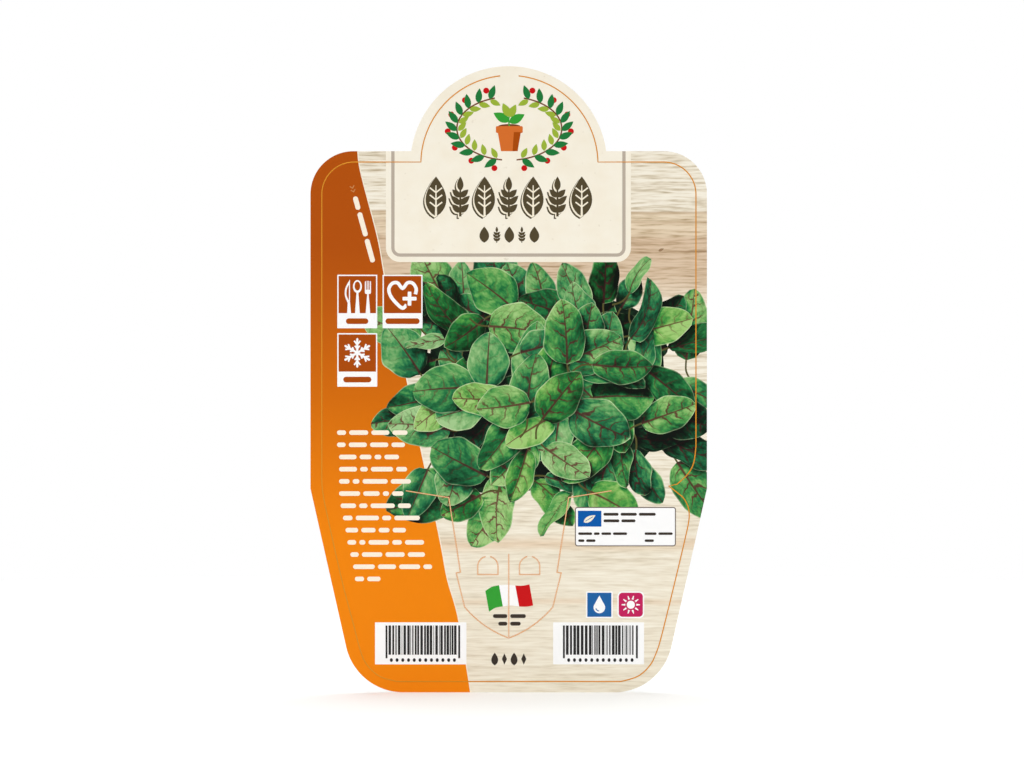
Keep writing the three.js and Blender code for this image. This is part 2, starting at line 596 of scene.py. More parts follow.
CREAM_INK = Ink("offset_ink_cream", "#FAF0D9")
WHITE_INK = Ink("offset_ink_white", "#FFFFFF")
PAPER_INK = Ink("offset_ink_warm_white", "#FFF3DF")
PALE_ORANGE_INK = Ink("offset_ink_pale_orange", "#CF8A50")
GOLD_INK = Ink("offset_ink_gold", "#DF9226")
TILE_INK = Ink("offset_ink_burnt_orange", "#AC4A00")
BROWN_INK = Ink("offset_ink_brown", "#534831")
DARK_INK = Ink("offset_ink_dark_brown", "#3B322B")
KEYLINE_INK = Ink("offset_ink_stone", "#BCAFA0")
GREY_INK = Ink("offset_ink_warm_grey", "#6C5F58")
BLUE_INK = Ink("offset_ink_blue", "#0059AB")
SKY_INK = Ink("offset_ink_sky_blue", "#1F62A4")
BERRY_INK = Ink("offset_ink_berry", "#C4205C")
BLACK_INK = Ink("offset_ink_black", "#2B2A2B")
GREEN_INK = Ink("offset_ink_green", "#35A035")
FOREST_INK = Ink("offset_ink_forest_green", "#1F7A3A")
LIME_INK = Ink("offset_ink_lime", "#9DB63A")
RED_INK = Ink("offset_ink_red", "#CC0F14")
CLAY_INK = Ink("offset_ink_clay", "#D9702B")
SOIL_INK = Ink("offset_ink_soil", "#7A4526")
KNOT_INK = Ink("offset_ink_wood_knot", "#9A7B5C")
STALK_INK = Ink("offset_ink_leaf_stalk", "#55512B")


@dataclass(frozen=True)
class WhiteStock(Finish):
    """White polypropylene sheet, extruded and left matt behind: milky, with the roller's fine grain."""

    name: str = "polypropylene_sheet_white"
    light: str = "#F7F7F4"
    dark: str = "#EFEFEC"
    grain_mm: float = 1.2
    bump: float = 0.12
    relief_mm: float = 0.02

    def paint(self, node: NodeMaker) -> None:
        """Clouds the white a little and gives it the roller's grain."""
        place = node("TexCoord", out="Object")
        cloud = node("TexNoise", {"Vector": place, "Scale": 1 / (self.grain_mm * MM), "Detail": 4.0})
        colour = set_stops(node("ValToRGB", [cloud]), [(0.35, self.dark), (0.65, self.light)])
        relief = {"Height": cloud, "Strength": self.bump, "Distance": self.relief_mm * MM}
        surface = {"Base Color": colour, "Roughness": 0.47, "Normal": node("Bump", relief), "IOR": 1.49}
        node("OutputMaterial", {"Surface": node("BsdfPrincipled", surface)})


@dataclass(frozen=True)
class StudioPaper(Finish):
    """The white paper that the label stands on, which has no sheen."""

    name: str = "studio_paper_white"

    def paint(self, node: NodeMaker) -> None:
        """Makes plain matt paper."""
        surface = {"Base Color": linear("#FAFAF9"), "Roughness": 0.9, "Specular IOR Level": 0.1}
        node("OutputMaterial", {"Surface": node("BsdfPrincipled", surface)})


@dataclass(frozen=True)
class BandPrint(Finish):
    """The orange band: burnt orange at the top that runs into bright orange at the foot."""

    name: str = "offset_print_orange_fade"
    top_z: float = 84.0
    foot_z: float = -14.0
    stops: Stops = (
        (0.0, "#F48700"), (0.13, "#EF8202"), (0.48, "#D66D00"), (0.82, "#BF5A05"), (1.0, "#B55103"),
    )

    def paint(self, node: NodeMaker) -> None:
        """Fades the orange by the height on the label."""
        height = node("SeparateXYZ", [node("TexCoord", out="Object")], out="Z")
        share = node("MapRange", [height, self.foot_z * MM, self.top_z * MM])
        Varnish().coat(node, set_stops(node("ValToRGB", [share]), self.stops))


@dataclass(frozen=True)
class PlaquePrint(Finish):
    """The cream plaque: a warm paper tone with a few faint flecks."""

    name: str = "offset_print_cream_paper"
    tone: str = "#FCF5E4"
    shade: str = "#F9F0DC"
    fleck: str = "#E4D9C4"
    fleck_mm: float = 2.2
    clouds_per_mm: float = 0.12

    def paint(self, node: NodeMaker) -> None:
        """Clouds the cream and scatters the flecks."""
        place = node("TexCoord", out="Object")
        cloud = node("TexNoise", {"Vector": place, "Scale": self.clouds_per_mm / MM, "Detail": 3.0})
        paper = set_stops(node("ValToRGB", [cloud]), [(0.3, self.shade), (0.62, self.tone)])
        flecks = node("TexNoise", {"Vector": place, "Scale": 1 / (self.fleck_mm * MM), "Detail": 5.0})
        share = node("MapRange", [flecks, 0.66, 0.76, 0.0, 0.7])
        mix = {SHARE: share, FIRST: paper, SECOND: linear(self.fleck)}
        Varnish().coat(node, node("Mix", mix, data_type="RGBA"))


@dataclass(frozen=True)
class WoodPrint(Finish):
    """The printed wood: pale planks with fine level grain, and a tan plank beside the plaque.

    tints gives the planks' colours by height. The grain is drawn about twice as coarse as real oak's, because
    finer lines wouldn't show at the label's size.
    """

    name: str = "offset_print_pale_wood"
    grain: Stops = ((0.0, "#BBA98C"), (0.3, "#DACDB4"), (0.55, "#EEE4CF"), (0.85, "#FAF3E2"))
    tints: Stops = (
        (-66.0, "#FFFFFF"), (-36.5, "#FFFFFF"), (-35.0, "#F5E9DE"), (-33.5, "#FFFFFF"), (-18.5, "#FFFFFF"),
        (-15.5, "#F6E8DC"), (-12.0, "#FFFFFF"), (62.0, "#FFFFFF"), (68.0, "#F7EDE6"), (74.5, "#E6D4C5"),
        (87.2, "#E4D0C0"), (87.6, "#C9B29C"), (88.0, "#F0E2D4"), (92.2, "#F0E3D5"), (92.5, "#D2BCA6"),
        (92.8, "#F2E7DA"), (95.4, "#F2E7DA"), (95.8, "#CDB8A2"), (96.2, "#FFFFFF"), (134.0, "#FFFFFF"),
    )
    sway_mm: float = 3.5
    streak_mm: float = 2.0
    fibre_mm: float = 0.75

    def paint(self, node: NodeMaker) -> None:
        """Draws the grain on lines that wander a little, and tints the planks."""
        place = node("TexCoord", out="Object")
        plane = node("Mapping", {"Vector": place, "Scale": (1 / MM, 0.0, 1 / MM)})
        slow = node("Mapping", {"Vector": plane, "Scale": (0.013, 1.0, 0.03)})
        wander = node("TexNoise", {"Vector": slow, "Scale": 1.0, "Detail": 3.0})
        x, _, z = node("SeparateXYZ", [plane]).node.outputs
        height = node("MULTIPLY_ADD", [node("SUBTRACT", [wander, 0.5]), self.sway_mm, z])
        bent = node("CombineXYZ", {"X": x, "Z": height})
        streak_way = node("Mapping", {"Vector": bent, "Scale": (0.018, 1.0, 1 / self.streak_mm)})
        streaks = node("TexNoise", {"Vector": streak_way, "Scale": 1.0, "Detail": 4.0, "Roughness": 0.6})
        fibre_way = node("Mapping", {"Vector": bent, "Scale": (0.12, 1.0, 1 / self.fibre_mm)})
        fibres = node("TexNoise", {"Vector": fibre_way, "Scale": 1.0, "Detail": 2.0})
        swing = node("SUBTRACT", [node("ADD", [fibres, streaks]), 1.0])
        # The lower planks are plainer than the upper ones
        vivid = node("MapRange", [z, -20.0, 90.0, 0.9, 2.2])
        wood = set_stops(node("ValToRGB", [node("MULTIPLY_ADD", [swing, vivid, 0.6])]), self.grain)
        low, high = self.tints[0][0], self.tints[-1][0]
        stops = [((z_stop - low) / (high - low), colour) for z_stop, colour in self.tints]
        tint = set_stops(node("ValToRGB", [node("MapRange", [height, low, high])]), stops)
        mix = {SHARE: 1.0, FIRST: wood, SECOND: tint}
        Varnish().coat(node, node("Mix", mix, data_type="RGBA", blend_type="MULTIPLY"))


@dataclass(frozen=True)
class LeafPrint(Finish):
    """The printed sorrel leaves: puckered green blades with dark red ribs, and a pale line along the margin.

    A leaf's mesh carries where each point lies on the blade and how the picture's light falls there.
    """

    name: str = "offset_print_sorrel_leaf"
    rib_gap_mm: float = 4.8
    rib_halves: Point = (0.085, 0.025)
    midrib_halves: Point = (0.52, 0.12)
    greens: Stops = (
        (0.0, "#010D06"), (0.18, "#022A15"), (0.34, "#0F5132"), (0.5, "#217547"), (0.66, "#4F9A58"),
        (0.84, "#86B775"), (1.0, "#A3CB8E"),
    )
    rib_dark: str = "#150506"
    rib_red: str = "#6A2430"
    margin: str = "#D5E6B4"
    yellow: str = "#B9C27E"
    parts: tuple[str, ...] = ("place", "look", "kind")

    def ribs(self, node: NodeMaker, place: Sequence[Value], traits: Sequence[Value]) -> tuple[Value, ...]:
        """Draws the midrib, the side ribs and the net between them.

        Args:
            node, place: adds a node, and how far along, across and from the margin a point lies.
            traits: a warp for the ribs, the share of the length, how red the leaf's ribs are, and its seed.

        Returns:
            The ribs' strength, which flank of its cell a point lies on, and how far from the net it is.
        """
        along, across, rim = place
        warp, share, redness, seed = traits
        out = node("ABSOLUTE", [across])
        # A side rib leaves the midrib forwards and curves towards the tip
        swept = node("MULTIPLY", [out, node("MULTIPLY_ADD", [out, 0.045, 0.5])])
        bent = node("MULTIPLY_ADD", [warp, 6.5, node("SUBTRACT", [along, swept])])
        stagger = node("MULTIPLY_ADD", [node("GREATER_THAN", [across, 0.0]), 0.45, seed])
        turn = node("FRACT", [node("MULTIPLY_ADD", [bent, 1 / self.rib_gap_mm, stagger])])
        away = node("ABSOLUTE", [node("SUBTRACT", [turn, 0.5])])
        reach = node("DIVIDE", [out, node("ADD", [out, rim])])
        closeness = node("DIVIDE", [away, node("MapRange", [reach, 0.0, 1.0, *self.rib_halves])])
        rib = node("MapRange", [closeness, 0.6, 1.5, 1.0, 0.0])
        side_rib = node("MULTIPLY", [rib, node("MapRange", [reach, 0.45, 0.86, 1.0, 0.0])])
        # The midrib is widest at the stalk
        beside = node("DIVIDE", [out, node("MapRange", [share, 0.0, 1.0, *self.midrib_halves])])
        midrib = node("MapRange", [beside, 0.6, 1.2, 1.0, 0.0])
        # Fine ribs close the cells between the side ribs
        cells = {"Vector": node("CombineXYZ", [bent, across, seed]), "Scale": 0.4, "Randomness": 0.9}
        edge = node("TexVoronoi", cells, feature="DISTANCE_TO_EDGE")
        line = node("MapRange", [edge, 0.012, 0.05, 0.4, 0.0])
        net = node("MULTIPLY", [line, node("POWER", [redness, 2.0])])
        fine = node("MAXIMUM", [node("MULTIPLY", [side_rib, redness]), net])
        slope = node("SINE", [node("MULTIPLY", [turn, 2 * pi])])
        return node("MAXIMUM", [fine, midrib]), slope, edge

    def paint(self, node: NodeMaker) -> None:
        """Lights the blade, greens it by its tone, and draws the ribs and the margin over it."""
        places = [node("Attribute", out="Vector", attribute_name=f"leaf_{part}") for part in self.parts]
        (along, across, rim), (tone, light, shadow), (share, redness, warmth) = (
            node("SeparateXYZ", [vector]).node.outputs for vector in places
        )
        seed = node("Attribute", out="Fac", attribute_name="leaf_seed")
        blotch, speckle = (
            node("TexNoise", {"Vector": places[0], "W": seed, "Scale": s, "Detail": d}, noise_dimensions="4D")
            for s, d in ((0.22, 2.0), (0.95, 4.0))
        )
        ribs, flank, net_edge = self.ribs(node, (along, across, rim), (blotch, share, redness, seed))
        # Between two ribs the blade bulges, so one flank of each cell is lit
        bulge = node("MapRange", [net_edge, 0.0, 0.35, -0.05, 0.05])
        value = node("MULTIPLY_ADD", [light, 0.7, tone])
        for part, weight in ((flank, 0.05), (bulge, 1.0), (blotch, 0.46), (speckle, 0.4), (shadow, -0.5)):
            value = node("MULTIPLY_ADD", [part, weight, value])
        level = node("SUBTRACT", [value, 0.77])
        blade = set_stops(node("ValToRGB", [level]), self.greens)
        rgba = partial(node, "Mix", data_type="RGBA")
        sun = {SHARE: warmth, FIRST: blade, SECOND: linear(self.yellow)}
        sunny = rgba(sun, blend_type="SOFT_LIGHT")
        rib_colour = rgba({SHARE: level, FIRST: linear(self.rib_dark), SECOND: linear(self.rib_red)})
        ribbed = rgba({SHARE: node("MULTIPLY", [ribs, 0.88]), FIRST: sunny, SECOND: rib_colour})
        lit_edge = node("MULTIPLY", [node("MapRange", [rim, 0.08, 0.45, 0.8, 0.0]), level])
        Varnish().coat(node, rgba({SHARE: lit_edge, FIRST: ribbed, SECOND: linear(self.margin)}))


@dataclass(frozen=True)
class ShadePrint(Finish):
    """The dark hollows that show between the printed leaves."""

    name: str = "offset_print_leaf_shade"
    dark: str = "#05140B"
    light: str = "#17371F"
    clouds_per_mm: float = 0.3

    def paint(self, node: NodeMaker) -> None:
        """Clouds the dark green."""
        place = node("TexCoord", out="Object")
        cloud = node("TexNoise", {"Vector": place, "Scale": self.clouds_per_mm / MM, "Detail": 3.0})
        Varnish().coat(node, set_stops(node("ValToRGB", [cloud]), [(0.4, self.dark), (0.75, self.light)]))


# Geometry Nodes trees for what repeats in the print


class FilmTree:
    """A Geometry Nodes tree that ends in a closed film of ink, standing in the label's plane.

    Each tree draws flat in x and y, in metres. What all trees end in gives the faces depth and ink and stands
    them up.
    """

    UPRIGHT = (pi / 2, 0.0, 0.0)
    MARKS: tuple[str, ...] = ()

    def __init__(self, name: str, **inputs: str) -> None:
        """Makes the tree with its named inputs.

        Args:
            name, **inputs: the tree's name, and the kind of each input besides those of every film.
        """
        self.tree = bpy.data.node_groups.new(name, "GeometryNodeTree")
        face = self.tree.interface
        for way in ("INPUT", "OUTPUT"):
            face.new_socket("Geometry", in_out=way, socket_type="NodeSocketGeometry")
        self.keys = {}
        for label, kind in {**inputs, "depth": "Float", "front": "Float", "ink": "Material"}.items():
            socket = face.new_socket(label, in_out="INPUT", socket_type=f"NodeSocket{kind}")
            self.keys[label] = socket.identifier
        self.node = partial(add_node, self.tree)
        self.given = self.node("GroupInput").node.outputs
        self.close(self.draw(self.node, self.given))

    def draw(self, node: NodeMaker, given: Mapping[str, Socket]) -> Socket:
        """Adds the tree's own nodes and returns the flat faces."""
        raise NotImplementedError

    def close(self, flat: Socket) -> None:
        """Turns flat faces that look towards +z into closed films, stands them up and ends the tree."""
        node, given = self.node, self.given
        push = {"Mesh": flat, "Offset Scale": given["depth"], "Individual": False}
        raised = node("ExtrudeMesh", push, mode="FACES")
        both = node("JoinGeometry", {"Geometry": [raised, node("FlipFaces", [flat])]})
        closed = node("MergeByDistance", {"Geometry": both, "Distance": 1e-6})
        lift = node("CombineXYZ", {"Y": node("ADD", [given["front"], given["depth"]])})
        stand = {"Geometry": closed, "Translation": lift, "Rotation": self.UPRIGHT}
        real = node("RealizeInstances", [node("Transform", stand)])
        node("GroupOutput", [node("SetMaterial", {"Geometry": real, "Material": given["ink"]})])

    def run(
        self, name: str, ink: Ink, level: Level, values: Mapping[str, object], source: Piece | None = None
    ) -> Piece:
        """Runs the tree and keeps its result as a plain mesh.

        Args:
            name, ink, level: the new piece's name, its ink and where the film lies.
            values, source: the tree's own inputs, and the mesh it starts from. Their objects are removed.

        Returns:
            The new piece, with no modifier on it.
        """
        source = source or flat_object("empty", [], [])
        modifier = source.modifiers.new("film", "NODES")
        modifier.node_group = self.tree
        depth = (level.back - level.front) * MM
        common = {"depth": depth, "front": level.front * MM, "ink": ink.material()}
        for label, value in {**values, **common}.items():
            modifier[self.keys[label]] = value
        bpy.context.view_layer.update()
        seen = source.evaluated_get(bpy.context.evaluated_depsgraph_get())
        mesh = bpy.data.meshes.new_from_object(seen)
        source.modifiers.clear()
        for used in {source, *(v for v in values.values() if isinstance(v, Piece))}:
            bpy.data.objects.remove(used)
        mesh.name = name
        for layer in [a for a in mesh.attributes if a.name in self.MARKS]:
            mesh.attributes.remove(layer)
        return linked(name, mesh)


class WordTree(FilmTree):
    """Round-ended bars in place of words: one at each point, as long as the point says."""

    MARKS = ("word_end", "word_reach", "word_turn")

    def draw(self, node: NodeMaker, given: Mapping[str, Socket]) -> Socket:
        """Puts a small circle on each point and pulls its two halves apart."""
        radius = node("MULTIPLY", [given["bar_height"], 0.5])
        circle = node("CurvePrimitiveCircle", {"Resolution": 18, "Radius": radius})
        side = node("SIGN", [node("SeparateXYZ", [node("InputPosition")])])
        mark = {"Geometry": circle, "Name": self.MARKS[0], "Value": side}
        marked = node("StoreNamedAttribute", mark, data_type="FLOAT", domain="POINT")
        end, reach, turn = (node("InputNamedAttribute", [name], data_type="FLOAT") for name in self.MARKS)
        spin = node("CombineXYZ", {"Z": turn})
        copies = {"Points": given["Geometry"], "Instance": marked, "Rotation": spin}
        real = node("RealizeInstances", [node("InstanceOnPoints", copies)])
        level = node("CombineXYZ", {"X": node("MULTIPLY", [end, reach])})
        shift = node("VectorRotate", {"Vector": level, "Angle": turn})
        return node("FillCurve", [node("SetPosition", {"Geometry": real, "Offset": shift})], mode="NGONS")

    def points(self, words: Sequence["Word"], height: float) -> Piece:
        """The points that the bars are put on.

        Args:
            words, height: the bars, and their height, which their round ends take off their length.

        Returns:
            An object with a point for each bar, marked with how far its ends are pulled and its turn.
        """
        found = flat_object("word_points", [word.middle for word in words], [])
        reach = [max(word.length - height, 0.0) / 2 * MM for word in words]
        for name, values in zip(self.MARKS[1:], (reach, [word.turn for word in words])):
            found.data.attributes.new(name, "FLOAT", "POINT").data.foreach_set("value", values)
        return found


class BarTree(FilmTree):
    """Upright bars of random widths side by side, as on a till code, but they spell nothing."""

    def draw(self, node: NodeMaker, given: Mapping[str, Socket]) -> Socket:
        """Draws one to four modules of ink and one or two of gap for each bar."""
        line = node("MeshLine", {"Count": given["count"], "Offset": (0.0, 0.0, 0.0)})
        ink, gap = (
            node("RandomValue", {LEAST: 1, MOST: most, SEED: seed}, data_type="INT")
            for most, seed in ((4, given["seed"]), (2, node("ADD", [given["seed"], 1.0])))
        )
        run = node("AccumulateField", {"Value": node("ADD", [ink, gap])}).node.outputs
        module = node("DIVIDE", [given["span"], run["Total"]])
        middle = node("MULTIPLY_ADD", [ink, 0.5, run["Trailing"]])
        along = node("CombineXYZ", {"X": node("MULTIPLY", [middle, module])})
        place = node("VectorMath", [along, given["start"]], operation="ADD")
        spread = node("SetPosition", {"Geometry": line, "Position": place})
        size = node("CombineXYZ", [node("MULTIPLY", [ink, module]), given["height"], 1.0])
        unit = node("CurvePrimitiveQuadrilateral", {"Width": 1.0, "Height": 1.0})
        placed = node("InstanceOnPoints", {"Points": spread, "Instance": unit, "Scale": size})
        return node("FillCurve", [node("RealizeInstances", [placed])], mode="NGONS")


class RingTree(FilmTree):
    """One small shape repeated round an ellipse or a part of one, with its foot towards the middle."""

    def draw(self, node: NodeMaker, given: Mapping[str, Socket]) -> Socket:
        """Spaces the copies evenly from the first turn on."""
        line = node("MeshLine", {"Count": given["count"], "Offset": (0.0, 0.0, 0.0)})
        turn = node("MULTIPLY_ADD", [node("InputIndex"), given["step"], given["first_turn"]])
        x = node("MULTIPLY", [node("COSINE", [turn]), given["half_width"]])
        y = node("MULTIPLY", [node("SINE", [turn]), given["half_height"]])
        place = node("VectorMath", [node("CombineXYZ", [x, y]), given["middle"]], operation="ADD")
        spread = node("SetPosition", {"Geometry": line, "Position": place})
        upright = node("SUBTRACT", [node("ADD", [turn, given["lean"]]), pi / 2])
        spin = node("CombineXYZ", {"Z": upright})
        shape = node("ObjectInfo", [given["shape"]], out="Geometry")
        placed = node("InstanceOnPoints", {"Points": spread, "Instance": shape, "Rotation": spin})
        return node("RealizeInstances", [placed])


class RowTree(FilmTree):
    """Two shapes that take turns along a level row."""

    def draw(self, node: NodeMaker, given: Mapping[str, Socket]) -> Socket:
        """Puts the first shape on the even places and the second on the odd ones."""
        pitch = node("CombineXYZ", {"X": given["pitch"]})
        line = node("MeshLine", {"Count": given["count"], "Start Location": given["start"], "Offset": pitch})
        odd = node("MODULO", [node("InputIndex"), 2.0])
        placed = []
        for label, chosen in (("even_shape", node("SUBTRACT", [1.0, odd])), ("odd_shape", odd)):
            shape = node("ObjectInfo", [given[label]], out="Geometry")
            placed.append(node("InstanceOnPoints", {"Points": line, "Selection": chosen, "Instance": shape}))
        return node("RealizeInstances", [node("JoinGeometry", {"Geometry": placed})])


class LineTree(FilmTree):
    """A printed line of even width along each path of the source."""

    def draw(self, node: NodeMaker, given: Mapping[str, Socket]) -> Socket:
        """Sweeps a short flat line along the paths."""
        ends = {}
        for label, share in (("Start", -0.5), ("End", 0.5)):
            ends[label] = node("CombineXYZ", {"X": node("MULTIPLY", [given["width"], share])})
        level = node("SetCurveNormal", [node("MeshToCurve", [given["Geometry"]])], mode="Z_UP")
        return node("CurveToMesh", {"Curve": level, "Profile Curve": node("CurvePrimitiveLine", ends)})


def linked(name: str, data: bpy.types.ID) -> Piece:
    """A new object in the scene that holds a mesh, a light or a camera."""
    piece = bpy.data.objects.new(name, data)
    bpy.context.scene.collection.objects.link(piece)
    return piece


def flat_object(name: str, places: Path, edges: Sequence[Sequence[int]]) -> Piece:
    """An object lying flat in x and y, for a tree to start from.

    Args:
        name, places, edges: its name, its points, and pairs of points that are joined, or whole faces.

    Returns:
        The object.
    """
    mesh = bpy.data.meshes.new(name)
    lines, faces = [e for e in edges if len(e) == 2], [e for e in edges if len(e) > 2]
    mesh.from_pydata([(x * MM, z * MM, 0.0) for x, z in places], lines, faces)
    mesh.update()
    return linked(name, mesh)


def path_object(name: str, paths: Sequence[Path]) -> Piece:
    """An object that holds open paths, for a printed line."""
    places: Loop = []
    edges: list[tuple[int, int]] = []
    for path in paths:
        first = len(places)
        places += path
        edges += [(i, i + 1) for i in range(first, first + len(path) - 1)]
    return flat_object(name, places, edges)


def shape_object(name: str, patch: Patch) -> Piece:
    """An object that holds a flat filled shape, for a tree to repeat."""
    return flat_object(name, [tuple(p) for p in patch.points], patch.triangles.tolist())


@dataclass(frozen=True)
class Word:
    """A bar that stands in a word's place."""

    middle: Point
    length: float
    turn: float = 0.0


@dataclass(frozen=True)
class Row:
    """Evenly spaced places on a level line."""

    start: Point
    count: int
    pitch: float


def words_between(start: Point, end: Point, draw: random.Random, sizes: Point, gap: float) -> list[Word]:
    """Fills a line of text with bars of random lengths.

    Args:
        start, end, draw: the line's ends, and the seeded source of the lengths.
        sizes, gap: the shortest and the longest bar, and the space between two bars.

    Returns:
        The bars, whose ends meet the line's ends.
    """
    run = dist(start, end)
    lengths = [draw.uniform(*sizes)]
    while sum(lengths) + gap * len(lengths) + sizes[0] < run:
        lengths.append(draw.uniform(*sizes))
    scale = (run - gap * (len(lengths) - 1)) / sum(lengths)
    turn = atan2(end[1] - start[1], end[0] - start[0])
    words, place = [], 0.0
    for length in lengths:
        middle = place + length * scale / 2
        spot = (start[0] + middle * cos(turn), start[1] + middle * sin(turn))
        words.append(Word(spot, length * scale, turn))
        place += length * scale + gap
    return words


class Press:
    """The press that puts fine print over the film: its trees, and the die that the print has to fit."""

    def __init__(self, die: DieLine) -> None:
        """Builds the trees for print that fits a die."""
        self.die = die
        place = {"count": "Int", "start": "Vector"}
        turns = dict.fromkeys(("half_width", "half_height", "first_turn", "step", "lean"), "Float")
        self.words = WordTree("word_bars", bar_height="Float")
        self.bars = BarTree("till_bars", **place, span="Float", height="Float", seed="Int")
        self.ring = RingTree("ring_of_shapes", shape="Object", count="Int", middle="Vector", **turns)
        self.row = RowTree("row_of_shapes", **place, even_shape="Object", odd_shape="Object", pitch="Float")
        self.line = LineTree("printed_line", width="Float")
        self.pieces: list[Piece] = []

    def keep(self, piece: Piece, body: Body) -> None:
        """Fixes a film to its body and keeps it."""
        join_body(piece, body, self.die)
        self.pieces.append(piece)

    def run(
        self,
        tree: FilmTree,
        name: str,
        ink: Ink,
        values: Mapping[str, object],
        source: Piece | None = None,
        level: Level = OVER_LEVEL,
        body: Body = Body.SHEET,
    ) -> None:
        """Prints one film on a body by running a tree."""
        self.keep(tree.run(name, ink, level, values, source), body)

    def film(
        self, name: str, ink: Ink, patch: Patch, level: Level = OVER_LEVEL, body: Body = Body.SHEET
    ) -> None:
        """Prints one flat shape on a body."""
        self.keep(slab(name, patch, level, ink), body)

    def text(
        self, name: str, ink: Ink, height: float, words: Sequence[Word], body: Body = Body.SHEET
    ) -> None:
        """Prints bars of one height in the place of words."""
        points = self.words.points(words, height)
        self.run(self.words, name, ink, {"bar_height": height * MM}, points, body=body)

    def marks(
        self, name: str, ink: Ink, shapes: Sequence[Patch], row: Row, level: Level = OVER_LEVEL
    ) -> None:
        """Prints two shapes that take turns along a row.

        Args:
            name, ink, level: the film's name and ink, and where it lies.
            shapes, row: the first shape and the second one, both at the origin, and where they stand.
        """
        even, odd = (shape_object("row_shape", shape) for shape in shapes)
        start = (row.start[0] * MM, row.start[1] * MM, 0.0)
        values = {"even_shape": even, "odd_shape": odd, "start": start}
        self.run(self.row, name, ink, {**values, "count": row.count, "pitch": row.pitch * MM}, level=level)


# Sub-assemblies


@dataclass
class Stock:
    """The cut sheet itself, and the tongue in it, before printing."""

    die: DieLine

    def build(self) -> list[Piece]:
        """Builds the sheet and the tongue and returns both."""
        plane = FlatMap(self.die)
        plane.lay("stock", WhiteStock(), self.die.outline())
        pieces = []
        for (name, body), patch in plane.solve().items():
            piece = slab(f"{body.value}_{name}", patch, STOCK_LEVEL, plane.finishes[name])
            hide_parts(NODE_OF[body])
            join_body(piece, body, self.die)
            pieces.append(piece)
        return pieces


